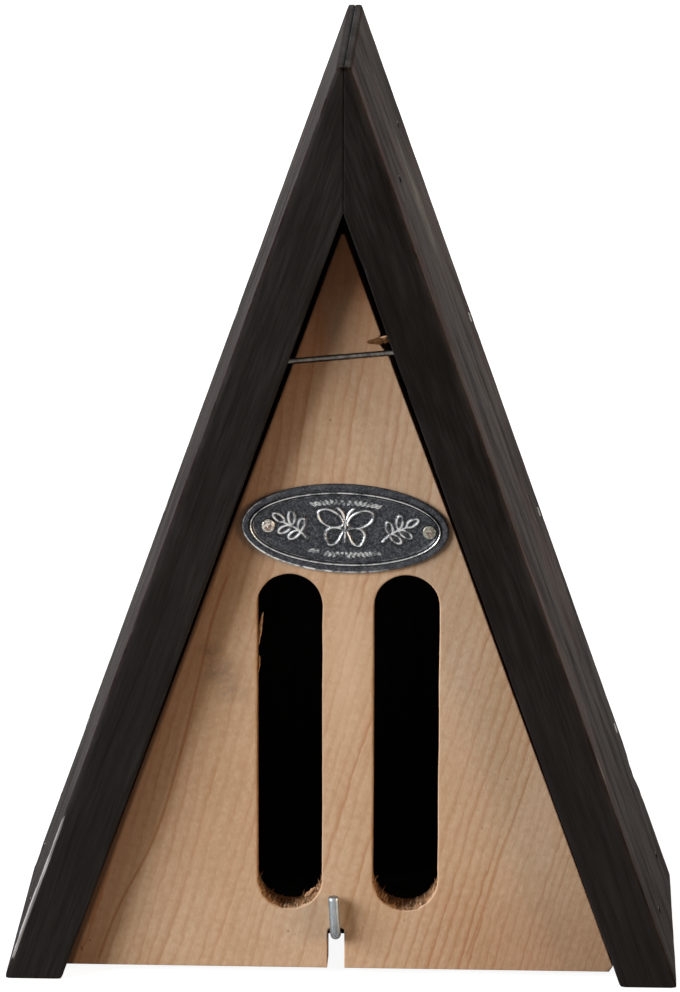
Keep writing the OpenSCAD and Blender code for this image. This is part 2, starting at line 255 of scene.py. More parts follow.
# Slivers of wood: points (x, z, height above the door's face), width, thickness, and 0 for the
# colour of the face, 1 for the sawn edges' or 2 for that of the tear near the tip
SLIVERS = (
    (((5.9, 168.5, 0), (8.4, 168.9, 0.25), (10.4, 169.1, 0.3), (11.6, 168.9, 0.1)), 1.8, 0.5, 2),
    (((9, 169.7, 0.1), (10.4, 170, 0.4), (11.2, 170.2, 0.2)), 0.6, 0.4, 0),
    (((-21.6, 88, -1.4), (-21.2, 91, -1.2), (-20.8, 94.5, -1), (-20.3, 97.2, -1)), 0.75, 0.5, 1),
    (((-21.7, 80.5, -2), (-21.4, 83.5, -1.8), (-21.3, 85.5, -1.8)), 0.6, 0.4, 1),
    (((-9.6, 20.6, -1.6), (-8.2, 21.7, -1.2), (-6.9, 23.3, -1.3)), 1.6, 0.8, 1),
)

# The right half of the label's butterfly and sprig, as lines of places (x, z) from its middle
UPPER_WING = ((0.6, 0.9), (1.6, 3.4), (4.6, 4.9), (6.9, 4.2), (6.4, 1.9), (3.6, 0.3))
LOWER_WING = ((0.7, -0.2), (3.6, 0.1), (5, -1.6), (4.1, -4.2), (2.2, -3.9), (1, -1.9))
FEELER = ((0.3, 2.4), (0.9, 4.1), (2, 5.3))
BUTTERFLY_BODY = ((0, -3.4), (0, 2.3))
SPRIG_STEM = ((9.6, -3), (11.4, -1.1), (13.6, 0.2), (16.2, 1.2))

# Leaves of a sprig: x, z and the angle each leans at, in degrees
SPRIG_LEAVES = ((11.2, 0.6, 105), (12.9, -2.1, -35), (13.7, 2.3, 85), (15.4, -0.8, -30), (17, 2.2, 35))


class Result:
    """What a node gives out; arithmetic with it adds Math nodes to the same tree."""

    def __init__(self, socket):
        self.socket = socket
        self.tree = socket.id_data

    def __add__(self, other):
        return maths("ADD", self, other)

    def __sub__(self, other):
        return maths("SUBTRACT", self, other)

    def __rsub__(self, other):
        return maths("SUBTRACT", other, self)

    def __mul__(self, other):
        return maths("MULTIPLY", self, other)

    def __truediv__(self, other):
        return maths("DIVIDE", self, other)

    def __pow__(self, other):
        return maths("POWER", self, other)

    def __abs__(self):
        return maths("ABSOLUTE", self)

    def between(self, low, high, to_low=0, to_high=1, smooth=True):
        """The result carried from one range to another and held at the ends."""
        ends = {0: self, 1: low, 2: high, 3: to_low, 4: to_high}
        curve = "SMOOTHSTEP" if smooth else "LINEAR"
        return add_node(self.tree, "ShaderNodeMapRange", ends, interpolation_type=curve)

    def plug(self, socket):
        """Links the result to an input of its tree."""
        self.tree.links.new(self.socket, socket)


def add_node(tree, kind, inputs, output=0, **fields):
    """Adds a node, sets or links its inputs and gives back one of its results."""
    node = tree.nodes.new(kind)
    for field, value in fields.items():
        setattr(node, field, value)
    for key, value in inputs.items():
        if isinstance(value, Result):
            value.plug(node.inputs[key])
        else:
            node.inputs[key].default_value = value
    return Result(node.outputs[output])


def maths(operation, *values):
    """A Math node on numbers and results."""
    tree = next(value.tree for value in values if isinstance(value, Result))
    return add_node(tree, "ShaderNodeMath", dict(enumerate(values)), operation=operation)


def strongest(*factors):
    """The highest of a few results."""
    total = factors[0]
    for factor in factors[1:]:
        total = maths("MAXIMUM", total, factor)
    return total


def blend(factor, first, second, how="MIX"):
    """Two colours mixed by a factor."""
    colours = {0: factor}
    for key, colour in ((6, first), (7, second)):
        colours[key] = (*colour, 1) if isinstance(colour, tuple) else colour
    return add_node(factor.tree, "ShaderNodeMix", colours, 2, data_type="RGBA", blend_type=how)


def painted(colour, *layers):
    """Lays colours over one another; a layer is a factor, a colour and, if it isn't a mix, how."""
    for factor, tint, *how in layers:
        colour = blend(factor, colour, tint, *how)
    return colour


class Finish:
    """A material made node by node; place and x, y, z are places in the object in millimetres."""

    def __init__(self, name, **constants):
        self.material = bpy.data.materials.new(name)
        self.material.use_nodes = True
        self.tree = self.material.node_tree
        self.shader = self.tree.nodes["Principled BSDF"].inputs
        for socket, value in constants.items():
            self.shader[socket.replace("_", " ")].default_value = value
        place = self.put("TexCoord", {}, "Object")
        self.place = self.put("VectorMath", {0: place, "Scale": 1 / MM}, operation="SCALE")
        self.x, self.y, self.z = self.split(self.place)

    def put(self, kind, inputs, output=0, **fields):
        """Adds a shader node to the material."""
        return add_node(self.tree, "ShaderNode" + kind, inputs, output, **fields)

    def read(self, attribute):
        """A number that the mesh carries for each of its points."""
        return self.put("Attribute", {}, "Fac", attribute_name=attribute)

    def split(self, vector):
        """The three numbers of a vector."""
        first = self.put("SeparateXYZ", {0: vector})
        return [Result(socket) for socket in first.socket.node.outputs]

    def join(self, x, y, z):
        """A vector of three numbers."""
        return self.put("CombineXYZ", {0: x, 1: y, 2: z})

    def turned(self, angle):
        """The place in the object, turned about the line from front to back."""
        return self.put("Mapping", {0: self.place, "Rotation": (0, angle, 0)})

    def scaled(self, vector, *scale):
        """A vector with each of its numbers multiplied."""
        return self.put("Mapping", {0: vector, "Scale": scale})

    def gap(self, vector, point):
        """The distance of a vector from a point."""
        return self.put("VectorMath", {0: vector, 1: point}, "Value", operation="DISTANCE")

    def cloud(self, vector, size, detail=3, rough=0.5):
        """Soft noise from 0 to 1 whose lumps are about this many millimetres across."""
        inputs = {"Vector": vector, "Scale": 1 / size, "Detail": detail, "Roughness": rough}
        return self.put("TexNoise", inputs)

    def spot(self, middle, scale):
        """1 at a place, 0 outside an oval round it; a scale of 0 leaves its axis out."""
        flat = [place * share for place, share in zip(middle, scale)]
        return self.gap(self.scaled(self.place, *scale), flat).between(0, 1, 1, 0)

    def marks(self, *places):
        """1 in the middle of upright oval marks on the door's face, 0 outside them."""
        return strongest(*(self.spot((x, 0, z), (1 / half_x, 0, 1 / half_z))
                           for x, z, half_x, half_z in places))

    def ramp(self, value, stops):
        """A grey level that follows a list of (position, level) stops."""
        level = self.put("ValToRGB", {0: value})
        elements = level.socket.node.color_ramp.elements
        while len(elements) < len(stops):
            elements.new(1)
        for element, (position, grey) in zip(elements, stops):
            element.position = position
            element.color = (grey, grey, grey, 1)
        return level

    def finish(self, colour, roughness, height, depth, metallic=None):
        """Plugs the last results into the shader; depth is the relief's height in millimetres."""
        colour.plug(self.shader["Base Color"])
        roughness.plug(self.shader["Roughness"])
        if metallic is not None:
            metallic.plug(self.shader["Metallic"])
        relief = {"Strength": 1, "Distance": depth * MM, "Height": height}
        self.put("Bump", relief).plug(self.shader["Normal"])
        return self.material


def growth_rings(f, across, deep, along, pith, spacing, wander):
    """Dark late-wood lines of rings round a pith line, each ring with its own strength."""
    sway = f.cloud(f.join(across / 22, deep / 22, along / 90), 1, 2)
    reach = f.gap(f.join(across, deep, 0), (*pith, 0))
    count = (reach + (sway - 0.5) * wander) / spacing
    own = f.put("TexWhiteNoise", {"W": maths("FLOOR", count)}, noise_dimensions="1D")
    line = f.ramp(maths("FRACT", count), RING_PROFILE)
    return line * (own ** 1.5).between(0, 1, 0.35, 1, smooth=False)


def curved_line(f, points, half_width):
    """1 along a wandering line given by a few places (x, z) on the door, 0 away from it."""
    xs, zs = zip(*points)
    low_x, high_x, low_z, high_z = min(xs), max(xs), min(zs), max(zs)
    stops = sorted(((z - low_z) / (high_z - low_z), (x - low_x) / (high_x - low_x))
                   for x, z in points)
    across = f.put("FloatCurve", {"Value": f.z.between(low_z, high_z, smooth=False)})
    mapping = across.socket.node.mapping
    curve = mapping.curves[0]
    for stop in stops[1:-1]:
        curve.points.new(*stop)
    curve.points[0].location = stops[0]
    curve.points[-1].location = stops[-1]
    mapping.update()
    line_x = across.between(0, 1, low_x, high_x, smooth=False)
    inside = f.z.between(low_z - 2, low_z + 2) * f.z.between(high_z - 6, high_z, 1, 0)
    return abs(f.x - line_x).between(0.1 * half_width, half_width, 1, 0) * inside


def across_door(f):
    """How far a place lies across the grain of the door, which leans, bends and wanders."""
    bend = maths("SMOOTH_MAX", 125 - f.z, 0, 40)
    jitter = f.cloud(f.scaled(f.place, 0.35, 0.35, 0.16), 1, 2)
    across = f.x - f.z * 0.11 + bend * 0.18 + jitter.between(0, 1, -0.8, 0.8, smooth=False)
    return across + maths("MAXIMUM", across - 46, 0) ** 2 * 0.008


def drawn_grain(f, line):
    """Growth lines as they show on the door: fading in places, and two that stand out."""
    fade = f.cloud(f.scaled(f.place, 1, 1, 0.4), 15).between(0.35, 0.65, 0.5, 1)
    return strongest(line * fade * f.z.between(150, 195, 1, 0.4),
                     curved_line(f, LEFT_GRAIN_LINE, 0.75) * 0.9,
                     curved_line(f, RIGHT_GRAIN_LINE, 0.6) * 0.75)


def handled_and_shaded(f, colour):
    """The door's wood with smudges, pores, a streak, a painted light patch and painted shade at tip,
    edges and foot.
    """
    dirt = f.cloud(f.place, 3, 4, 0.7).between(0.35, 0.7, 0.15, 1)
    to_side = (INNER_PEAK - f.z) * SLOPE - abs(f.x)
    # Painted shade in the narrow gap beside the left roof board
    gap_shade = to_side.between(1.2, 2.4, 0.85, 0) * f.x.between(-1, 1, 1, 0)
    # Painted shadow of the left roof board on the door
    left_board_shadow = to_side.between(3, 13, 0.75, 0) * f.x.between(-8, 0, 1, 0)
    # Painted shade near the door's right foot
    right_foot_shade = f.z.between(4, 34, 0.5, 0) * f.x.between(5, 45)
    return painted(
        colour,
        (f.marks(*SMUDGES) * dirt * 0.65, WOOD_DIRT),
        (f.marks(TIP_STREAK) * 0.4, WOOD_LINE),
        (f.marks(*PORES) * 0.75, WOOD_SPECK),
        # Painted shade in the gap beside the left roof board
        (gap_shade, WOOD_GAP_SHADE),
        # A painted patch of light in the middle of the door
        (f.marks(PAINTED_LIGHT_MIDDLE) * 0.35, WOOD_LIGHT),
        # Painted shade towards the door's tip
        (f.z.between(140, 192), TIP_SHADE_SHARE, "MULTIPLY"),
        # Painted shade: the left board's shadow, near the right foot and high in the tip
        (strongest(left_board_shadow, right_foot_shade, f.z.between(172, 187)), EDGE_SHADE_SHARE, "MULTIPLY"))


def natural_board(name, sawn=False):
    """Plain unfinished softwood: warm, with fine leaning growth lines and specks."""
    f = Finish(name, Specular_IOR_Level=0.18)
    across = across_door(f)
    line = growth_rings(f, across, f.y, f.z, (-150, 20), 2.7, 8)
    grain = f.join(across * 2.2, f.y * 2.2, f.z * 0.1)
    fibre = f.cloud(grain, 1, 4, 0.6)
    fine = f.cloud(f.scaled(grain, 3, 3, 5), 1, 2)
    patch = f.cloud(f.scaled(f.place, 1, 1, 0.5), 24)
    tint = f.cloud(f.scaled(f.place, 1, 1, 0.6), 9, 2)
    mottle = f.cloud(f.place, 1.7, 3, 0.6)
    fleck = f.cloud(f.scaled(f.place, 1, 1, 0.6), 0.8, 2, 0.6)
    specks = f.cloud(f.join(across, f.y, f.z * 0.5), 0.9, 1)
    rim = f.read("rim")
    colour = painted(
        blend(patch.between(0.3, 0.7), WOOD_PALE, WOOD_DEEP),
        (tint.between(0.42, 0.66, 0, 0.35), WOOD_PINK),
        (fibre.between(0.3, 0.7, 0, 0.26), WOOD_FIBRE),
        (fine.between(0.35, 0.7, 0, 0.12), WOOD_FIBRE),
        (mottle.between(0.42, 0.66, 0, 0.3), WOOD_FIBRE),
        (fleck.between(0.5, 0.7, 0, 0.22), WOOD_LIGHT),
        (drawn_grain(f, line) * 0.7, WOOD_LINE),
        (specks.between(0.74, 0.84, 0, 0.5), WOOD_SPECK))
    colour = blend(rim * 0.5, handled_and_shaded(f, colour), WOOD_RIM)
    if sawn:
        streak = f.cloud(f.join(across * 1.1, f.y * 0.3, f.z * 0.9), 1, 3, 0.7)
        streak = streak.between(0.32, 0.62, 0.25, 0.95) * rim.between(0.1, 0.7, 1, 0)
        colour = blend(streak, colour, SAWN_DARK)
        return f.finish(colour, streak.between(0.2, 0.8, 0.65, 0.85), streak, 0.4)
    roughness = fibre.between(0.2, 0.8, 0.55, 0.75)
    return f.finish(colour, roughness, line * 0.25 + fibre * 0.5 + fine, 0.04)


def stained_front(f, side, line, fibre, speckle, blotch):
    """The stained front of a roof board; the stain is thinner low down, on the left all the way up."""
    thin = f.z.between(15, 145, 1, 0) if side > 0 else f.z.between(-60, 240, 1, 0.7)
    return painted(
        blend(fibre.between(0.3, 0.75), STAIN, STAIN_LIGHT),
        (thin, THIN_STAIN, "ADD"),
        (line * 0.4, STAIN_DARK),
        (blotch.between(0.54, 0.7, 0, 0.25), STAIN_RED),
        (speckle.between(0.6, 0.74, 0, 0.3), STAIN_GREY))


def stained_outside(f, side, board, fibre, band, blotch):
    """A roof board's stained outer face: pits, chalky streaks, painted shade low down, scuffs on the
    right.
    """
    chalk = f.cloud(f.scaled(board, 0.5, 0.45, 0.1), 1, 4, 0.75)
    pits = f.cloud(f.scaled(board, 1, 1, 0.5), 1.1, 2, 0.7)
    middle_band = f.y.between(FRONT + 12, FRONT + 22) * f.y.between(FRONT + 32, FRONT + 44, 1, 0)
    outside = painted(
        blend(band.between(0.36, 0.62), STAIN_OUT_DARK, STAIN_OUT),
        (blotch.between(0.47, 0.6, 0, 0.8), STAIN_OUT_RED),
        (fibre.between(0.4, 0.7, 0, 0.6), STAIN_OUT_DARK),
        (f.y.between(FRONT + 3, FRONT + 12, 0.7, 0), STAIN_OUT_RED),
        (middle_band * 0.55, STAIN_OUT_DARK),
        (pits.between(0.54, 0.62, 0, 0.8) * blotch.between(0.4, 0.55), STAIN_DARK),
        (chalk.between(0.58, 0.7, 0, 0.75), STAIN_CHALK),
        # Painted shade: darker towards the foot
        (f.z.between(10, 110, 0.8, 0), STAIN_OUT_DARK))
    if side < 0:
        return blend(f.z.between(50, 150), outside, WARM_SHARE, "MULTIPLY")
    scuffs = strongest(f.spot((0, FRONT + 2.5, 57), (0, 0.35, 0.11)),
                       f.spot((0, 9, 196), (0, 0.09, 0.045)))
    return blend(scuffs * chalk.between(0.36, 0.56, 0.15, 1), outside, STAIN_SCUFF)


def worn_and_highlit_arrises(f, side, board):
    """1 along a roof board's outer arrises, broken up where they took fewer knocks; at the back, a
    painted highlight.
    """
    outer = side * OUTER
    section = f.scaled(board, 1, 1, 0)
    to_edge = maths("MINIMUM", f.gap(section, (outer, FRONT, 0)), f.gap(section, (outer, BACK, 0)))
    knocks = f.cloud(f.scaled(board, 1, 1, 0.25), 3, 4, 0.7)
    return to_edge.between(0.3, 1.8, 1, 0) * knocks.between(0.35, 0.65, 0.1, 1)


def stained_board(name, side):
    """Softwood under a thin black-brown stain: grain, streaks, scuffs, chips and worn arrises with a
    painted highlight.
    """
    f = Finish(name)
    board = f.turned(side * LEAN)
    across, deep, along = f.split(board)
    line = growth_rings(f, deep, across, along, (18, side * -40), 2.6, 7)
    fibre = f.cloud(f.scaled(board, 1.6, 1.6, 0.08), 1, 4, 0.62)
    speckle = f.cloud(f.scaled(board, 1, 1, 0.4), 0.8, 2, 0.6)
    band = f.cloud(f.scaled(board, 0.1, 0.11, 0.028), 1, 3, 0.6)
    blotch = f.cloud(f.scaled(board, 1, 1, 0.3), 16, 3, 0.6)
    torn = f.cloud(f.scaled(board, 1.1, 1.1, 0.13), 1, 4, 0.7)

    under_face = abs(across - side * OUTER)
    on_outer = under_face.between(0.3, 0.9, 1, 0)
    on_inner = under_face.between(BOARD - 0.7, BOARD - 0.1) * f.y.between(FRONT + 0.6, FRONT + 3)
    # Painted bounce light from the door's wood on the inner faces in front of it
    door_bounce = f.y.between(DOOR_FACE + 4, DOOR_BACK, 1, 0) * f.z.between(90, 175, 1, 0.1)
    ridge = f.z.between(HOUSE_TOP - 1.4, HOUSE_TOP - 0.7)
    seam = abs(f.x).between(0.55, 1, 1, 0)
    chip = f.read("bare") + torn.between(0.25, 0.75, -0.42, 0.42, smooth=False)
    chip = chip.between(0.42, 0.6)
    colour = painted(
        stained_front(f, side, line, fibre, speckle, blotch),
        (on_outer, stained_outside(f, side, board, fibre, band, blotch)),
        (on_inner, blend(door_bounce, STAIN_DARK, INNER_BOUNCE_BROWN)),
        # Worn arrises, with a painted highlight along the back ones
        (worn_and_highlit_arrises(f, side, board) * 0.55, STAIN_WORN_AND_HIGHLIT),
        (ridge * 0.8, STAIN_OUT),
        (seam * ridge, STAIN_OUT_DARK),
        (chip, blend(fibre.between(0.32, 0.64), CHIPPED, CHIPPED_DARK)))

    sheen = band.between(0.35, 0.65, 0.015, 0.06) * fibre.between(0.3, 0.7, 0.5, 1.5)
    sheen *= ridge.between(0, 1, 1, 0.1) * f.z.between(10, 110, 0.5, 1)
    if side < 0:
        sheen *= (f.z.between(50, 150) * on_outer).between(0, 1, 1, 0.5)
    (sheen + chip * 0.25).plug(f.shader["Specular IOR Level"])
    roughness = fibre.between(0.25, 0.75, 0.8, 0.62) - chip * 0.3
    return f.finish(colour, roughness, line * -0.5 + fibre + speckle * 0.5, 0.12)


def inner_board(name):
    """The dark stained wood of the floor and the back panel, painted almost black inside as shade."""
    f = Finish(name, Specular_IOR_Level=0.06)
    line = growth_rings(f, f.x, f.y, f.z, (22, 75), 3.1, 8)
    fibre = f.cloud(f.scaled(f.place, 1.6, 1.6, 0.06), 1, 4, 0.62)
    blotch = f.cloud(f.scaled(f.place, 1, 1, 0.5), 16, 3, 0.6)
    colour = painted(
        blend(fibre.between(0.3, 0.75), INNER_DEEP, INNER_PALE),
        (line * 0.55, INNER_LINE),
        (blotch.between(0.5, 0.7, 0, 0.4), INNER_RED),
        # Painted shade: almost black on the inside
        (f.y.between(PANEL_FACE - 3, PANEL_FACE - 1, 0.9, 0), INNER_SHADE_BLACK))
    return f.finish(colour, fibre.between(0.25, 0.75, 0.8, 0.65), line * -0.5 + fibre, 0.12)


def torn_wood(name):
    """The fresh orange-brown wood inside a tear."""
    f = Finish(name, Specular_IOR_Level=0.2)
    streak = f.cloud(f.scaled(f.turned(math.radians(15)), 2.2, 2.2, 0.5), 1, 4, 0.7)
    colour = blend(streak.between(0.35, 0.65), TORN_DEEP, TORN_PALE)
    return f.finish(colour, streak.between(0.3, 0.7, 0.6, 0.8), streak, 0.4)


def galvanised(name, tone, rough):
    """Zinc-coated steel, dulled in cloudy patches and scratched along its height."""
    f = Finish(name, Metallic=1)
    cloud = f.cloud(f.scaled(f.place, 1, 1, 0.15), 1.2, 4, 0.6)
    scratch = f.cloud(f.scaled(f.place, 3, 3, 0.45), 0.6, 3, 0.7)
    dull = tuple(0.5 * part for part in tone)
    bright = tuple(1.6 * part for part in tone)
    colour = painted(blend(cloud.between(0.38, 0.66), tone, dull),
                     (scratch.between(0.58, 0.72, 0, 0.6), bright))
    return f.finish(colour, cloud.between(0.3, 0.7, rough, rough + 0.2), scratch, 0.03)


def nail_iron(name):
    """Dark stained iron with bare bright and rusty spots, as a hammered nail head has."""
    f = Finish(name)
    cloud = f.cloud(f.place, 0.9, 4, 0.65)
    rust = f.cloud(f.place, 0.6, 3, 0.7)
    bare = cloud.between(0.36, 0.46)
    colour = painted(blend(bare, IRON_STAINED, IRON_BARE),
                     (rust.between(0.58, 0.68) * 0.5, IRON_RUST))
    return f.finish(colour, cloud.between(0.3, 0.7, 0.62, 0.42), cloud, 0.06, bare)


def label_nail_steel(name):
    """Zinc on the label's nail heads, rusty in the hammered middle, dull on the right one."""
    f = Finish(name)
    on_right = f.x.between(-1, 1)
    cloud = f.cloud(f.place, 0.7, 4, 0.7)
    rust = f.read("middle") * cloud.between(0.4, 0.54)
    bright = blend(on_right, PIN_BRIGHT, RIGHT_PIN_BRIGHT)
    dull = blend(on_right, PIN_DULL, RIGHT_PIN_DULL)
    colour = painted(blend(cloud.between(0.38, 0.6), bright, dull), (rust, PIN_RUST))
    metallic = rust.between(0, 1, 0.95, 0.15)
    return f.finish(colour, cloud.between(0.3, 0.7, 0.3, 0.5), cloud, 0.12, metallic)


def pewter(name):
    """Pressed plate with a dark wash left in the low places and broken polish on the high ones."""
    f = Finish(name)
    polish = f.read("polish")
    cloud = f.cloud(f.place, 2.2, 4, 0.65)
    grit = f.cloud(f.place, 0.45, 3, 0.7)
    brush = f.cloud(f.scaled(f.turned(math.radians(25)), 0.6, 1, 3), 0.8, 3, 0.6)
    rubbed = polish * cloud.between(0.36, 0.6, 0.45, 1.1)
    colour = painted(
        blend(polish.between(-0.3, 0), PEWTER_WASH, PEWTER_FIELD),
        (grit.between(0.5, 0.66, 0, 0.8), PEWTER_GRIT),
        (grit.between(0.5, 0.36, 0, 0.7), PEWTER_WASH),
        (brush.between(0.56, 0.7, 0, 0.5), PEWTER_GRIT),
        (rubbed.between(0.15, 0.85), PEWTER_BRIGHT))
    metallic = polish.between(-0.3, 0.2, 0.8, 1)
    return f.finish(colour, rubbed.between(0.1, 0.9, 0.45, 0.24), grit + cloud * 0.6, 0.07, metallic)


def in_scene(name, data):
    """Puts a mesh, a lamp or a camera into the scene."""
    made = bpy.data.objects.new(name, data)
    bpy.context.scene.collection.objects.link(made)
    return made


def new_object(name, bm, *materials):
    """A finished mesh as an object at the origin."""
    mesh = bpy.data.meshes.new(name)
    bm.to_mesh(mesh)
    bm.free()
    for material in materials:
        mesh.materials.append(material)
    return in_scene(name, mesh)


def new_piece(name, body, bm, *materials):
    """A finished mesh as an object at the origin that rides on a body."""
    piece = new_object(name, bm, *materials)
    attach(piece, body)
    return piece


def waver(a, b, c):
    """Smooth noise from about -1 to 1 at a place given by three numbers."""
    return noise.noise(Vector((a, b, c)))


def held(value):
    """A number held between 0 and 1."""
    return max(0, min(1, value))


def circle(sides):
    """The angles of points evenly spaced round a circle."""
    return [2 * math.pi * k / sides for k in range(sides)]


def ways_along(line):
    """The direction of a line at each of its points."""
    last = len(line) - 1
    return [(line[min(i + 1, last)] - line[max(i - 1, 0)]).normalized() for i in range(last + 1)]


def bridge(bm, rings, smooth=True):
    """Joins rings of points with faces, and gives back the faces."""
    faces = []
    for low, high in zip(rings, rings[1:]):
        for k in range(len(low)):
            after = (k + 1) % len(low)
            faces.append(bm.faces.new((low[k], low[after], high[after], high[k])))
            faces[-1].smooth = smooth
    return faces


def merged_copy(node):
    """The mesh of a CAD node with its loose triangles joined into whole faces."""
    bm = bmesh.new()
    bm.from_mesh(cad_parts[node].data)
    bmesh.ops.remove_doubles(bm, verts=bm.verts, dist=0.003 * MM)
    bmesh.ops.dissolve_limit(bm, angle_limit=math.radians(0.5), verts=bm.verts, edges=bm.edges)
    for face in bm.faces:
        face.smooth = False
        face.material_index = 0
    return bm


def middle_of(edge):
    """The middle of an edge, in millimetres."""
    return (edge.verts[0].co + edge.verts[1].co) / 2 / MM


def corner_angle(edge):
    """How sharply the surface turns at an edge, in degrees."""
    return math.degrees(edge.calc_face_angle(0))


def is_arris(edge):
    """True where two faces of a board meet at a corner."""
    return 35 < corner_angle(edge) < 150


def arrises(bm, shortest):
    """The corners of a board, without the short edges round its holes."""
    return [e for e in bm.edges if e.calc_length() > shortest * MM and is_arris(e)]


def ease(bm, edges, width, segments=2):
    """Rounds edges over by a width."""
    bmesh.ops.bevel(bm, geom=list(edges), offset=width * MM, offset_type="OFFSET", segments=segments,
                    profile=0.6, affect="EDGES", clamp_overlap=True)


def slice_across(bm, direction, low, high, step):
    """Cuts rows of new points across a mesh, so that its edges can be worn."""
    for i in range(int((high - low) / step) + 1):
        plane = direction * (low + i * step) * MM
        everything = bm.verts[:] + bm.edges[:] + bm.faces[:]
        bmesh.ops.bisect_plane(bm, geom=everything, plane_co=plane, plane_no=direction, dist=1e-7)


def rounded_corner(low, high, radius):
    """How far a point moves in from two faces when the arris between them is rounded."""
    if low >= radius or high >= radius:
        return 0, 0
    reach = math.hypot(radius - low, radius - high)
    if reach <= radius:
        return 0, 0
    share = 1 - radius / reach
    return (radius - low) * share, (radius - high) * share


def rounded_foot(side, out, place, to_outer, to_inner):
    """How far a point near the ground moves where the foot's arrises are worn round."""
    outer_radius = 1.5 + 0.3 * waver(place.y / 8, side * 3, 0.5)
    faces = ((to_outer, outer_radius, -out), (to_inner, 1, out), (place.y - FRONT, 0.6, BACKWARD))
    shift = Vector()
    for gap, radius, inward in faces:
        lift, tuck = rounded_corner(place.z, gap, radius)
        shift += UP * lift + inward * tuck
    return shift


def torn_foot(side, run, place):
    """Depth of the splits where the outer back arris of a board broke at its foot."""
    if side > 0:
        split = max(0, waver(run / 3.1, 2.7, 0.4) + 0.1)
        return 1.6 * split * max(0, 1 - abs(place.z - 31) / 9)
    split = max(0, waver(run / 1.9, 8.1, 3.3) + 0.22)
    return 4.2 * split * max(0, 1 - abs(place.z - 20) / 21) ** 0.5


def bare_wood(side, place, depth_in):
    """1 where the stain is knocked off: a strip up the left board's front outer arris at its foot."""
    if side > 0 or depth_in > 0.5 or not BARE_LOW < place.z < BARE_HIGH:
        return 0
    width = 4 + 8 * max(0, 1 - abs(place.z - 15) / 18)
    width *= 1 + 0.5 * waver(place.z / 2.3, 1.2, 5.5)
    strip = held((width - (place.y - FRONT)) / 3)
    return strip * min(1, (place.z - BARE_LOW) / 4, (BARE_HIGH - place.z) / 12)


def board_wear(side, place, up, out):
    """How far a point of a roof board moves where its edges are knocked, torn or rounded."""
    run, depth = place.dot(up), place.dot(out)
    to_outer, to_inner = OUTER - depth, depth - OUTER + BOARD
    gaps = (place.y - FRONT, BACK - place.y, to_outer, to_inner)
    near_front, near_back, near_outer, near_inner = (max(0, 1 - gap / KNOCK_REACH) for gap in gaps)
    knock = waver(run / 7, side * 5 + near_front, depth / 3) + 0.35
    nick = max(0, waver(run / 2.5, side * 9, place.y / 9) - 0.25)
    worn = max(0, 0.22 * knock) + 0.9 * nick
    if near_back and near_outer:
        worn *= 0.3
    inward = BACKWARD * (near_front - near_back) * max(near_outer, near_inner)
    inward += out * (near_inner - near_outer) * max(near_front, near_back)
    if near_inner > 0 and place.z > INNER_PEAK - 12:
        inward = Vector()
    shift = inward * worn
    shift -= out * torn_foot(side, run, place) * near_back * max(0, 1 - to_outer / 1.8)
    if place.z < 1.6:
        shift += rounded_foot(side, out, place, to_outer, to_inner)
    return shift


def roof_board(side, finish):
    """A stained roof board with knocked edges; side is 1 on the right and -1 on the left."""
    name = "roof_board_right" if side > 0 else "roof_board_left"
    bm = merged_copy(name)
    ease(bm, [e for e in arrises(bm, 1.4) if middle_of(e).z > 0.1], EASED_BOARD)
    up = Vector((-side * math.sin(LEAN), 0, math.cos(LEAN)))
    out = Vector((side * math.cos(LEAN), 0, math.sin(LEAN)))
    slice_across(bm, up, *BOARD_ROWS)
    slice_across(bm, BACKWARD, FRONT + 2.2, BACK - 2, 5)
    slice_across(bm, UP, *FOOT_ROWS)
    slice_across(bm, out, OUTER - 1.6, OUTER - 0.2, 0.45)
    slice_across(bm, out, OUTER - BOARD + 0.3, OUTER - BOARD + 1.3, 0.5)
    bare = bm.verts.layers.float.new("bare")
    for vert in bm.verts:
        place = vert.co / MM
        vert[bare] = bare_wood(side, place, OUTER - place.dot(out))
        vert.co += board_wear(side, place, up, out) * MM
        vert.co.z = max(vert.co.z, 0)
    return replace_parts(new_piece(name + "_wood", "house", bm, finish), name)


def plain_panel(node, body, finish):
    """A flat wooden panel with lightly eased edges."""
    bm = merged_copy(node)
    ease(bm, arrises(bm, 1.6), EASED_PANEL)
    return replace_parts(new_piece(node + "_wood", body, bm, finish), node)


def slot_gap(x, z):
    """The distance from the nearest slot's wall, counted outwards from the opening."""
    top_bend = SLOT_FOOT + SLOT_LENGTH - SLOT_WIDTH / 2
    level = z - min(max(z, SLOT_BEND), top_bend)
    return min(math.hypot(x - middle, level) for middle in SLOT_MIDDLES) - SLOT_WIDTH / 2


def slot_bite(place, depth):
    """How far a point of a slot's wall moves where the wood is bitten out, most at the lower end."""
    low = held((SLOT_FOOT + 9 - place.z) / 8)
    middle = min(SLOT_MIDDLES, key=lambda m: abs(place.x - m))
    bite = waver(place.x / 0.9, place.z / 2.5, depth / 4)
    ripple = waver(place.x / 3, place.z / 5, 4.2)
    reach = (0.12 + 0.75 * low * min(1, depth / 1.5)) * bite + 0.16 * ripple
    away = Vector((place.x - middle, 0, place.z - SLOT_BEND if low else 0))
    return away.normalized() * reach


def near_kerf(place):
    """True for a point in or beside the saw cut that holds the hinge wire."""
    line = WIRE_HEIGHT + place.x * math.tan(WIRE_TILT)
    return abs(place.z - line) < 2.4 and place.y < DOOR_FACE + 3


def near_pin(place):
    """True for a point of the door level with the holes for the label's nails."""
    return abs(place.z - LABEL_MIDDLE.z) < 3 and abs(place.x) < 24


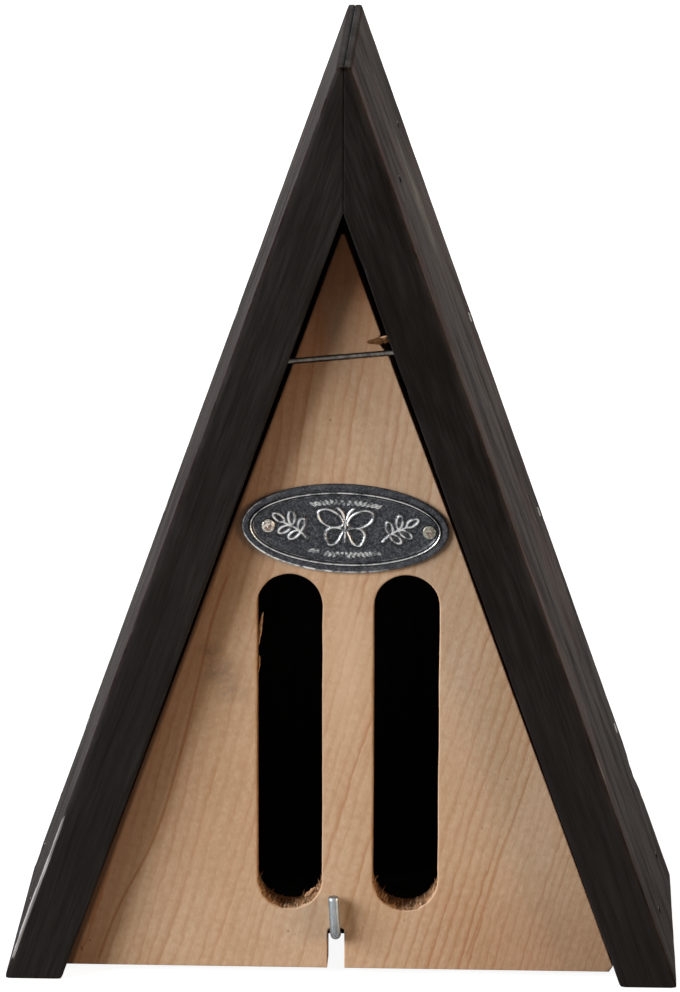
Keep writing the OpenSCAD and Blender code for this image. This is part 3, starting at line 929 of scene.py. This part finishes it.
def worn_door(bm):
    """Wears the door: bitten slot walls, long edges a little wider low down, the tear's notch."""
    for y in DOOR_DEPTH_ROWS:
        slice_across(bm, BACKWARD, DOOR_FACE + y, DOOR_FACE + y, 1)
    slice_across(bm, UP, *TEAR_ROWS)
    slice_across(bm, UP, *DOOR_EDGE_ROWS)
    rim = bm.verts.layers.float.new("rim")
    for vert in bm.verts:
        place = vert.co / MM
        gap = slot_gap(place.x, place.z)
        depth = place.y - DOOR_FACE
        edge = (INNER_PEAK - place.z) * SLOPE - abs(place.x)
        if gap < 0.8:
            vert[rim] = 1 if -0.2 < gap < 0.38 and depth < 0.6 else 0
            if depth < 9.4:
                vert.co += slot_bite(place, depth) * MM
        elif edge < 3 and place.z < WIDER_BELOW:
            low, foot = held((WIDER_BELOW - place.z) / 40), held((80 - place.z) / 60)
            wider = 0.4 * low + 0.4 * foot if place.x < 0 else 0.5 * low + 0.2 * foot
            vert.co.x += math.copysign(wider, place.x) * MM
        if edge < 3 and place.x > 0 and depth < 6 and TEAR_LOW < place.z < TEAR_HIGH:
            notch = max(0, 1 - abs(place.z - TEAR_MIDDLE) / 2.3) ** 0.6
            vert.co.x -= 1.3 * notch * (1 - depth / 6) * MM


def front_door(face, sawn, torn):
    """The door: a thin natural board with eased slots, sawn edges and a small tear-out."""
    bm = merged_copy("front_door")
    slots, others = [], []
    for edge in bm.edges:
        place = middle_of(edge)
        flat = min(abs(place.y - DOOR_FACE), abs(place.y - DOOR_BACK)) < 0.01
        pin_hole = near_pin(place) and edge.calc_length() < 0.6 * MM
        if flat and is_arris(edge) and not near_kerf(place) and not pin_hole:
            rims = slots if abs(slot_gap(place.x, place.z)) < 0.1 else others
            rims.append(edge)
    ease(bm, others, EASED_PANEL)
    ease(bm, [e for e in slots if e.is_valid], EASED_SLOT, 3)
    for part in bm.faces:
        part.material_index = 1 if abs(part.normal.y) < 0.35 else 0
    worn_door(bm)
    for shape in SLIVERS:
        sliver(bm, *shape)
    door = new_piece("front_door_wood", "door", bm, face, sawn, torn)
    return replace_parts(door, "front_door")


def sliver(bm, points, width, thick, material):
    """A closed pointed sliver of wood along a few points (x, z, height above the door's face)."""
    line = smooth_line(points, steps=6)
    rings = []
    for i, (spot, way) in enumerate(zip(line, ways_along(line))):
        side = Vector((-way.y, way.x, 0)).normalized()
        share = i / (len(line) - 1)
        half = width / 2 * (0.12 + 0.9 * math.sin(math.pi * min(1, share * 1.05)) ** 0.7)
        half *= 1 + 0.35 * waver(share * 9, width, 1.5)
        ring = []
        for across, up in ((-1, 0), (0, 0.5), (1, 0), (0, -0.5)):
            x, z, height = spot + side * across * half
            ring.append(bm.verts.new(Vector((x, DOOR_FACE - height - up * thick, z)) * MM))
        rings.append(ring)
    faces = [bm.faces.new(rings[0]), bm.faces.new(rings[-1][::-1]), *bridge(bm, rings, smooth=False)]
    bmesh.ops.recalc_face_normals(bm, faces=faces)
    for face in faces:
        face.material_index = material


def tube(bm, path, radius, sides, chamfer):
    """A closed round bar along a path of points, its ends slightly chamfered."""
    ways = ways_along(path)
    start, end = path[0] + ways[0] * chamfer, path[-1] - ways[-1] * chamfer
    sizes = [radius - chamfer] + [radius] * len(path) + [radius - chamfer]
    side = ways[0].orthogonal().normalized()
    rings = []
    for middle, way, size in zip([path[0], start, *path[1:-1], end, path[-1]],
                                 [ways[0], *ways, ways[-1]], sizes):
        side = (side - way * side.dot(way)).normalized()
        other = way.cross(side)
        rings.append([bm.verts.new((middle + (side * math.cos(t) + other * math.sin(t)) * size) * MM)
                      for t in circle(sides)])
    bridge(bm, rings)
    bm.faces.new(rings[0][::-1])
    bm.faces.new(rings[-1])


def hinge_wire(finish):
    """The straight steel wire that the door swings on, its ends in the roof boards."""
    along = Vector((math.cos(WIRE_TILT), 0, math.sin(WIRE_TILT)))
    middle = Vector((0, DOOR_FACE + WIRE_DEPTH, WIRE_HEIGHT))
    steps = 40
    bm = bmesh.new()
    path = [middle + along * WIRE_HALF * (2 * i / steps - 1) for i in range(steps + 1)]
    tube(bm, path, WIRE / 2, 16, 0.1)
    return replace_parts(new_piece("hinge_wire_steel", "door", bm, finish), "hinge_wire")


def latch_hook(finish):
    """A square-bent hook: the shank in the floor board and an arm standing up before the door."""
    shank_end = hook_high.y
    shank_steps = int((shank_end - HOOK_LINE - HOOK_BEND) / 1.5)
    path = [Vector((0, shank_end - 1.5 * i, 0)) for i in range(shank_steps)]
    for i in range(13):
        turn = math.pi / 2 * i / 12
        path.append(Vector((0, HOOK_LINE + HOOK_BEND * (1 - math.sin(turn)),
                            HOOK_BEND * (1 - math.cos(turn)))))
    rise = HOOK_REACH - HOOK_BEND
    path += [Vector((0, HOOK_LINE, HOOK_BEND + rise * i / 8)) for i in range(1, 9)]
    lean = Matrix.Rotation(-HOOK_LEAN, 3, "Y")
    bm = bmesh.new()
    tube(bm, [HOOK_PIVOT + lean @ place for place in path], HOOK / 2, 28, 0.25)
    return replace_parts(new_piece("latch_hook_steel", "latch", bm, finish), "latch_hook")


def smooth_line(points, closed=False, steps=10):
    """A smooth curve that passes through a few points."""
    count = len(points)
    line = []
    for i in range(count if closed else count - 1):
        near = [(i + k) % count if closed else min(max(i + k, 0), count - 1) for k in (-1, 0, 1, 2)]
        a, b, c, d = (Vector(points[k]) for k in near)
        for k in range(steps):
            t = k / steps
            line.append(0.5 * (2 * b + (c - a) * t + (2 * a - 5 * b + 4 * c - d) * t ** 2
                               + (3 * b - a - 3 * c + d) * t ** 3))
    line.append(Vector(points[0] if closed else points[-1]))
    return line


def mirrored(points, side):
    """Places (x, z) as they are on the right, or mirrored on the left."""
    return [(side * x, z) for x, z in points]


def leaf_outline(x, z, turn, long, wide):
    """A closed oval round a place, turned by an angle in degrees."""
    turned = Matrix.Rotation(math.radians(turn), 2)
    return [Vector((x, z)) + turned @ Vector((long * math.cos(t), wide * math.sin(t)))
            for t in circle(12)]


def label_lines():
    """The bold raised lines of the label: one butterfly, a leafy sprig on each side of it."""
    shapes = ((UPPER_WING, True), (LOWER_WING, True), (FEELER, False), (SPRIG_STEM, False))
    lines = [smooth_line(BUTTERFLY_BODY)]
    for side in (-1, 1):
        for points, closed in shapes:
            lines.append(smooth_line(mirrored(points, side), closed))
        for x, z, turn in SPRIG_LEAVES:
            leaf = leaf_outline(x, z, turn, 1.7, 0.8)
            lines.append(smooth_line(mirrored(leaf, side), True, 3))
    return lines


def label_leaves():
    """Two garlands of equal slanted leaves, one above the butterfly and one below it."""
    lines = []
    for level in (-1, 1):
        for side in (-1, 1):
            for k in range(7):
                x = 0.9 + 1.25 * k
                z = level * 6.9 * math.sqrt(1 - (x / 17.5) ** 2)
                leaf = leaf_outline(x, z, level * (52 - 5 * k), 0.85, 0.24)
                lines.append(smooth_line(mirrored(leaf, side), True, 2))
    return lines


def boxed(lines):
    """Each line with its lowest and highest x and z, so that far lines are passed over quickly."""
    boxes = []
    for line in lines:
        xs, zs = zip(*line)
        boxes.append((line, min(xs), max(xs), min(zs), max(zs)))
    return boxes


def gap_to_lines(x, z, lines):
    """The distance from a point to the nearest raised line."""
    best = FAR_INSIDE
    for line, low_x, high_x, low_z, high_z in lines:
        if low_x - 1 < x < high_x + 1 and low_z - 1 < z < high_z + 1:
            for a, b in zip(line, line[1:]):
                way = b - a
                run = (x - a.x) * way.x + (z - a.y) * way.y
                t = held(run / max(way.length_squared, 1e-9))
                best = min(best, math.hypot(x - a.x - way.x * t, z - a.y - way.y * t))
    return best


def swell(gap, width):
    """1 where a gap is 0, falling smoothly away on both sides."""
    return math.exp(-(gap / width) ** 2)


def label_height(gap, x, z, lines, leaves):
    """Height of the pressed sheet at a point, and how polished it is; gap is to the rim."""
    if gap < 1.7:
        rolled = max(0, 1 - ((gap - 0.75) / 0.95) ** 2)
        low_left = max(0, -x / LABEL_HALF[0] - 0.8 * z / LABEL_HALF[1])
        shine = 0.2 + 0.55 * low_left if gap < 0.4 else 0.22
        return 0.45 + 0.45 * rolled ** 0.7, shine
    if gap < 3.4:
        ridge = max(swell(gap - 2.25, 0.36), 0.55 * swell(gap - 2.95, 0.15))
        return LABEL_LOW + (LABEL_TOP - LABEL_LOW) * ridge, 0.95 * ridge - 0.1
    near = gap_to_lines(x, z, lines)
    line, wash = swell(near, 0.3), swell(near - 0.75, 0.35)
    leaf = swell(gap_to_lines(x, z, leaves), 0.21)
    return LABEL_LOW + max(0.42 * line, 0.22 * leaf), 0.02 + 0.8 * line + 0.6 * leaf - 0.32 * wash


def on_plate(x, height, z):
    """A place over the door that is given from the middle of the tilted label."""
    return (LABEL_MIDDLE + LABEL_TURN @ Vector((x, -height, z))) * MM


def label_plate(finish):
    """The pressed oval plate, as rings of points from its rim to its middle."""
    lines, leaves = boxed(label_lines()), boxed(label_leaves())
    half_x, half_z = LABEL_HALF
    last_row = LABEL_RIM_ROWS[-1]
    bm = bmesh.new()
    polish = bm.verts.layers.float.new("polish")

    def point(x, z, gap):
        """One point of the plate's front."""
        height, shine = label_height(gap, x, z, lines, leaves)
        vert = bm.verts.new(on_plate(x, height, z))
        vert[polish] = shine
        return vert

    def ring(inset, share, gap):
        """A row of points round the plate, moved in from its rim and then shrunk to a share."""
        return [point((half_x - inset) * share * math.cos(t), (half_z - inset) * share * math.sin(t), gap)
                for t in circle(LABEL_SIDES)]

    rings = [[bm.verts.new(on_plate(half_x * math.cos(t), 0, half_z * math.sin(t)))
              for t in circle(LABEL_SIDES)]]
    rings += [ring(gap, 1, gap) for gap in LABEL_RIM_ROWS]
    rings += [ring(last_row, 1 - i / LABEL_INNER_ROWS, FAR_INSIDE) for i in range(1, LABEL_INNER_ROWS)]
    bridge(bm, rings)
    middle = point(0, 0, FAR_INSIDE)
    for k in range(LABEL_SIDES):
        bm.faces.new((rings[-1][k], rings[-1][(k + 1) % LABEL_SIDES], middle)).smooth = True
    bm.faces.new(rings[0][::-1])
    bmesh.ops.recalc_face_normals(bm, faces=bm.faces)
    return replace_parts(new_piece("label_plate_pewter", "door", bm, finish), "label_plate")


def label_nail(bm, middle_x, radius, seed, centre):
    """One small nail: a hammered domed head above the plate and a short pointed shank."""
    profile = [(0, 7.2), (0.3, 6.4), (0.6, 5.7), (0.6, -0.75), (radius * 0.98, -0.75), (radius, -0.95)]
    profile += [(radius * math.cos(t), -0.95 - 0.45 * math.sin(t)) for t in (0.4, 0.75, 1.1, 1.35, 1.5)]
    rings = []
    for reach, depth in profile:
        on_head = depth < -0.8
        ring = []
        for t in circle(PIN_SIDES):
            x, z = reach * math.cos(t), reach * math.sin(t)
            dent = 0.25 * waver(x * 1.3, z * 1.3, seed) if on_head and reach < radius * 0.97 else 0
            vert = bm.verts.new(on_plate(middle_x + x, min(-depth - dent, LABEL_TOP), z))
            vert[centre] = max(0, 1 - reach / radius) if on_head else 0
            ring.append(vert)
        rings.append(ring)
    bridge(bm, rings)
    bm.faces.new(rings[-1])


def label_nails(finish):
    """The two nails of the label; the right one is a little bigger."""
    bm = bmesh.new()
    centre = bm.verts.layers.float.new("middle")
    for middle_x, radius, seed in PINS:
        label_nail(bm, middle_x, radius, seed, centre)
    bmesh.ops.remove_doubles(bm, verts=bm.verts, dist=0.001 * MM)
    bmesh.ops.recalc_face_normals(bm, faces=bm.faces)
    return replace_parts(new_piece("label_nails_steel", "door", bm, finish), "label_nails")


def point_tree(name, seed, lengths):
    """A node tree for setting things on points, and its inputs by name."""
    tree = bpy.data.node_groups.new(name, "GeometryNodeTree")
    face = tree.interface
    face.new_socket("Points", in_out="INPUT", socket_type="NodeSocketGeometry")
    for label, value in lengths.items():
        socket = face.new_socket(label, in_out="INPUT", socket_type="NodeSocketFloat")
        socket.default_value = value * MM
    face.new_socket("Seed", in_out="INPUT", socket_type="NodeSocketInt").default_value = seed
    face.new_socket("Finish", in_out="INPUT", socket_type="NodeSocketMaterial")
    face.new_socket("Made", in_out="OUTPUT", socket_type="NodeSocketGeometry")
    start = tree.nodes.new("NodeGroupInput")
    return tree, {socket.name: Result(socket) for socket in start.outputs if socket.name}


def by_chance(given, low, high):
    """A number for each point between two limits."""
    limits = {2: low, 3: high, "Seed": given["Seed"]}
    return add_node(given["Seed"].tree, "FunctionNodeRandomValue", limits, 1, data_type="FLOAT")


def set_on_points(tree, given, thing, size, grain, detail, bend):
    """Sets a thing on every point, along the point's own way and spun by chance, then bends it."""
    way = add_node(tree, "GeometryNodeInputNamedAttribute", {"Name": "way"}, data_type="FLOAT_VECTOR")
    aim = add_node(tree, "FunctionNodeAlignRotationToVector", {"Vector": way}, axis="Z")
    spin = add_node(tree, "ShaderNodeCombineXYZ", {2: by_chance(given, 0, 6.28)})
    aim = add_node(tree, "FunctionNodeRotateRotation", {0: aim, 1: spin}, rotation_space="LOCAL")
    placed = {"Points": given["Points"], "Instance": thing, "Rotation": aim, "Scale": size}
    placed = add_node(tree, "GeometryNodeInstanceOnPoints", placed)
    real = add_node(tree, "GeometryNodeRealizeInstances", {"Geometry": placed})
    uneven = add_node(tree, "ShaderNodeTexNoise", {"Scale": grain, "Detail": detail}, 1)
    shift = add_node(tree, "ShaderNodeVectorMath", {0: uneven, 1: (0.5, 0.5, 0.5)},
                     operation="SUBTRACT")
    shift = add_node(tree, "ShaderNodeVectorMath", {0: shift, "Scale": bend}, operation="SCALE")
    bent = add_node(tree, "GeometryNodeSetPosition", {"Geometry": real, "Offset": shift})
    done = add_node(tree, "GeometryNodeSetMaterial", {"Geometry": bent, "Material": given["Finish"]})
    done.plug(tree.nodes.new("NodeGroupOutput").inputs[0])
    return tree


def nail_tree(name):
    """A node tree that sets one nail on every point, its head towards the point's own way."""
    tree, given = point_tree(name, 7, {
        "Head width": NAIL_HEAD, "Head thickness": NAIL_HEAD_THICK, "Shank width": NAIL,
        "Length": NAIL_LENGTH, "Rise": NAIL_RISE, "Dents": NAIL_DENTS})
    head_radius = given["Head width"] * 0.5
    shank_radius = given["Shank width"] * 0.5
    tip_length = given["Shank width"] * 1.2
    straight = given["Length"] - tip_length
    under_head = given["Rise"] - given["Head thickness"]
    cap = add_node(tree, "GeometryNodeMeshCone", {
        "Vertices": 24, "Side Segments": 3, "Fill Segments": 5, "Radius Top": head_radius * 0.86,
        "Radius Bottom": head_radius, "Depth": given["Head thickness"]})
    shank = add_node(tree, "GeometryNodeMeshCylinder", {
        "Vertices": 16, "Radius": shank_radius, "Depth": straight})
    tip = add_node(tree, "GeometryNodeMeshCone", {
        "Vertices": 16, "Radius Top": shank_radius, "Radius Bottom": 0.15 * MM, "Depth": tip_length})
    nail = add_node(tree, "GeometryNodeJoinGeometry", {})
    for part, height in ((cap, under_head), (shank, under_head - straight * 0.5),
                         (tip, under_head - given["Length"])):
        up = add_node(tree, "ShaderNodeCombineXYZ", {2: height})
        part = add_node(tree, "GeometryNodeTransform", {"Geometry": part, "Translation": up})
        part.plug(nail.socket.node.inputs[0])
    return set_on_points(tree, given, nail, (1, 1, 1), 1100, 2, given["Dents"])


def splinter_tree(name):
    """A node tree that grows one thin pointed splinter on every point, along the point's own way."""
    tree, given = point_tree(name, 5, {
        "Width": SPLINTER, "Length": SPLINTER_LENGTH, "Bend": SPLINTER_BEND})
    cone = add_node(tree, "GeometryNodeMeshCone", {
        "Vertices": 5, "Side Segments": 3, "Radius Top": 0.02 * MM,
        "Radius Bottom": given["Width"] * 0.5, "Depth": given["Length"]})
    return set_on_points(tree, given, cone, by_chance(given, 0.5, 1.3), 900, 1, given["Bend"])


def run_tree(name, body, bm, tree, **settings):
    """Runs a node tree on the points of a mesh and keeps the result as one plain mesh."""
    piece = new_piece(name, body, bm)
    modifier = piece.modifiers.new("nodes", "NODES")
    modifier.node_group = tree
    for item in tree.interface.items_tree:
        if item.in_out == "INPUT" and item.name in settings:
            modifier[item.identifier] = settings[item.name]
    graph = bpy.context.evaluated_depsgraph_get()
    made = bpy.data.meshes.new_from_object(piece.evaluated_get(graph))
    piece.modifiers.clear()
    piece.data = made
    return piece


def slot_splinters(finish):
    """Broken fibres round the lower ends of the slots."""
    rng = random.Random(11)
    bm = bmesh.new()
    way = bm.verts.layers.float_vector.new("way")
    grain = Vector((0.35, 0, 0.94))
    for middle in SLOT_MIDDLES:
        for _ in range(SPLINTERS_PER_SLOT):
            turn = math.radians(rng.uniform(-172, -8))
            out = Vector((math.cos(turn), 0, math.sin(turn)))
            place = Vector((middle, 0, SLOT_BEND)) + out * (SLOT_WIDTH / 2 - 0.1)
            place.y = DOOR_FACE + 1.2 + 7 * rng.random() ** 1.4
            lean = grain * rng.uniform(0.6, 1.2) - out * rng.uniform(0.1, 0.7)
            lean.y = rng.uniform(-0.3, 0.3)
            bm.verts.new(place * MM)[way] = lean.normalized()
    return run_tree("slot_fibres", "door", bm, splinter_tree("splinters"), Finish=finish)


def set_nails(name, body, node, places, tree, finish, length=NAIL_LENGTH):
    """Sets the nails of a CAD node at places that each come with the way the nail's head points."""
    bm = bmesh.new()
    way = bm.verts.layers.float_vector.new("way")
    for place, out in places:
        bm.verts.new(place * MM)[way] = out
    piece = run_tree(name, body, bm, tree, Finish=finish, Length=length * MM)
    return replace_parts(piece, node)


def on_right_face(y, z):
    """A place on the outer face of the right roof board and the way out of it."""
    return Vector(((PEAK - z) * SLOPE, y, z)), Vector((math.cos(LEAN), 0, math.sin(LEAN)))


def level_place(y, z):
    """Where a level nail enters the right roof board, and the way its head points."""
    return Vector(((PEAK - z - NAIL_HEAD / 2) * SLOPE, y, z)), Vector((1, 0, 0))


def both_sides(places):
    """The same places on the right and, mirrored, on the left."""
    flip = Matrix.Diagonal((-1, 1, 1))
    return places + [(flip @ place, flip @ way) for place, way in places]


def hanger(plate_finish, screw_finish):
    """The keyhole plate on the back, its edges eased, and its two screws."""
    bm = merged_copy("hanger_plate")
    ease(bm, [e for e in bm.edges if corner_angle(e) > 60], EASED_PLATE)
    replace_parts(new_piece("hanger_plate_steel", "house", bm, plate_finish), "hanger_plate")
    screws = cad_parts["hanger_screws"].data.materials
    screws.clear()
    screws.append(screw_finish)


def make_camera():
    """The photograph's camera: its place, direction and angle of view."""
    ahead = Vector((math.sin(CAMERA_YAW) * math.cos(CAMERA_PITCH),
                    math.cos(CAMERA_YAW) * math.cos(CAMERA_PITCH), math.sin(CAMERA_PITCH)))
    level = Vector((math.cos(CAMERA_YAW), -math.sin(CAMERA_YAW), 0))
    upward = level.cross(ahead)
    right = level * math.cos(CAMERA_ROLL) + upward * math.sin(CAMERA_ROLL)
    up = upward * math.cos(CAMERA_ROLL) - level * math.sin(CAMERA_ROLL)
    data = bpy.data.cameras.new("photograph_camera")
    data.lens = FOCAL_PIXELS / PHOTO_HEIGHT * data.sensor_width
    data.clip_end = 50
    camera = in_scene("photograph_camera", data)
    turn = Matrix((right, up, -ahead)).transposed().to_4x4()
    camera.matrix_world = Matrix.Translation(Vector(CAMERA_PLACE) * MM) @ turn
    bpy.context.scene.camera = camera


def soft_lamp(name, place, aim, size, power, tint):
    """A square studio lamp that points at a spot on the house."""
    data = bpy.data.lights.new(name, "AREA")
    data.size = size * MM
    data.energy = power
    data.color = tint
    lamp = in_scene(name, data)
    lamp.location = Vector(place) * MM
    lamp.rotation_euler = (Vector(place) - Vector(aim)).to_track_quat("Z", "Y").to_euler()


def sees_background(tree):
    """1 for camera, mirror and glass rays, 0 for the rays that light the house."""
    path = tree.nodes.new("ShaderNodeLightPath").outputs
    rays = ("Is Camera Ray", "Is Glossy Ray", "Is Transmission Ray")
    return strongest(*(Result(path[ray]) for ray in rays))


def make_sky():
    """Faint warm light from all sides, in front of a white background."""
    world = bpy.data.worlds.new("studio")
    world.use_nodes = True
    bpy.context.scene.world = world
    tree = world.node_tree
    light = tree.nodes["Background"]
    light.inputs["Color"].default_value = SKY
    light.inputs["Strength"].default_value = SKY_STRENGTH
    white = add_node(tree, "ShaderNodeBackground", {"Color": (1, 1, 1, 1)})
    both = {0: sees_background(tree), 1: Result(light.outputs[0]), 2: white}
    add_node(tree, "ShaderNodeMixShader", both).plug(tree.nodes["World Output"].inputs["Surface"])


def floor_finish():
    """Matt grey that also glows for the camera, so that it looks as white as the background."""
    material = bpy.data.materials.new("pale_floor")
    material.use_nodes = True
    tree = material.node_tree
    tree.nodes.remove(tree.nodes["Principled BSDF"])
    matt = add_node(tree, "ShaderNodeBsdfDiffuse", {"Color": FLOOR_GREY})
    place = add_node(tree, "ShaderNodeTexCoord", {}, "Object")
    distance = add_node(tree, "ShaderNodeVectorMath", {0: place}, "Value", operation="LENGTH")
    strength = sees_background(tree) * distance.between(0.15, 0.7, 0.93, 1, smooth=False)
    glow = add_node(tree, "ShaderNodeEmission", {"Strength": strength})
    both = add_node(tree, "ShaderNodeAddShader", {0: matt, 1: glow})
    both.plug(tree.nodes["Material Output"].inputs["Surface"])
    return material


def make_studio():
    """A white room: faint sky light, three soft lamps and a pale floor."""
    make_sky()
    for lamp in LAMPS:
        soft_lamp(*lamp)
    bm = bmesh.new()
    bmesh.ops.create_circle(bm, cap_ends=True, segments=64, radius=4)
    floor = new_object("floor", bm, floor_finish())


bpy.context.scene.view_settings.view_transform = "Standard"
make_camera()
make_studio()

stain_left = stained_board("stain_left_board", -1)
stain_right = stained_board("stain_right_board", 1)
inner = inner_board("stain_inside")
natural = natural_board("natural_wood_face")
sawn = natural_board("natural_wood_sawn", sawn=True)
torn = torn_wood("torn_wood")

for side, stain in ((-1, stain_left), (1, stain_right)):
    roof_board(side, stain)
front_door(natural, sawn, torn)
for node in ("back_panel", "floor_board"):
    plain_panel(node, "house", inner)

splinters = slot_splinters(sawn)

hinge_wire(galvanised("wire_zinc", WIRE_ZINC, 0.5))
latch_hook(galvanised("hook_zinc", HOOK_ZINC, 0.4))
label_plate(pewter("label_pewter"))
label_nails(label_nail_steel("label_nail_zinc"))

iron = nail_iron("nail_iron")
nails = nail_tree("nails")
back_nail_places = both_sides([on_right_face(PANEL_MIDDLE, z) for z in BACK_NAIL_HEIGHTS])
set_nails("back_panel_nails_iron", "house", "back_panel_nails", back_nail_places, nails, iron)
floor_nail_places = both_sides([level_place(y, FLOOR_MIDDLE) for y in FLOOR_NAIL_DEPTHS])
set_nails("floor_nails_iron", "house", "floor_nails", floor_nail_places, nails, iron)
ridge_places = [level_place(y, z) for y, z in RIDGE_NAIL_PLACES]
set_nails("ridge_nails_iron", "house", "ridge_nails", ridge_places, nails, iron, RIDGE_NAIL_LENGTH)
back_floor_places = [(Vector((x, PANEL_FACE, FLOOR_MIDDLE)), BACKWARD) for x in BACK_FLOOR_NAIL_SIDES]
set_nails("back_floor_nails_iron", "house", "back_floor_nails", back_floor_places, nails, iron)

hanger(galvanised("hanger_zinc", HANGER_ZINC, 0.5), galvanised("screw_zinc", SCREW_ZINC, 0.45))
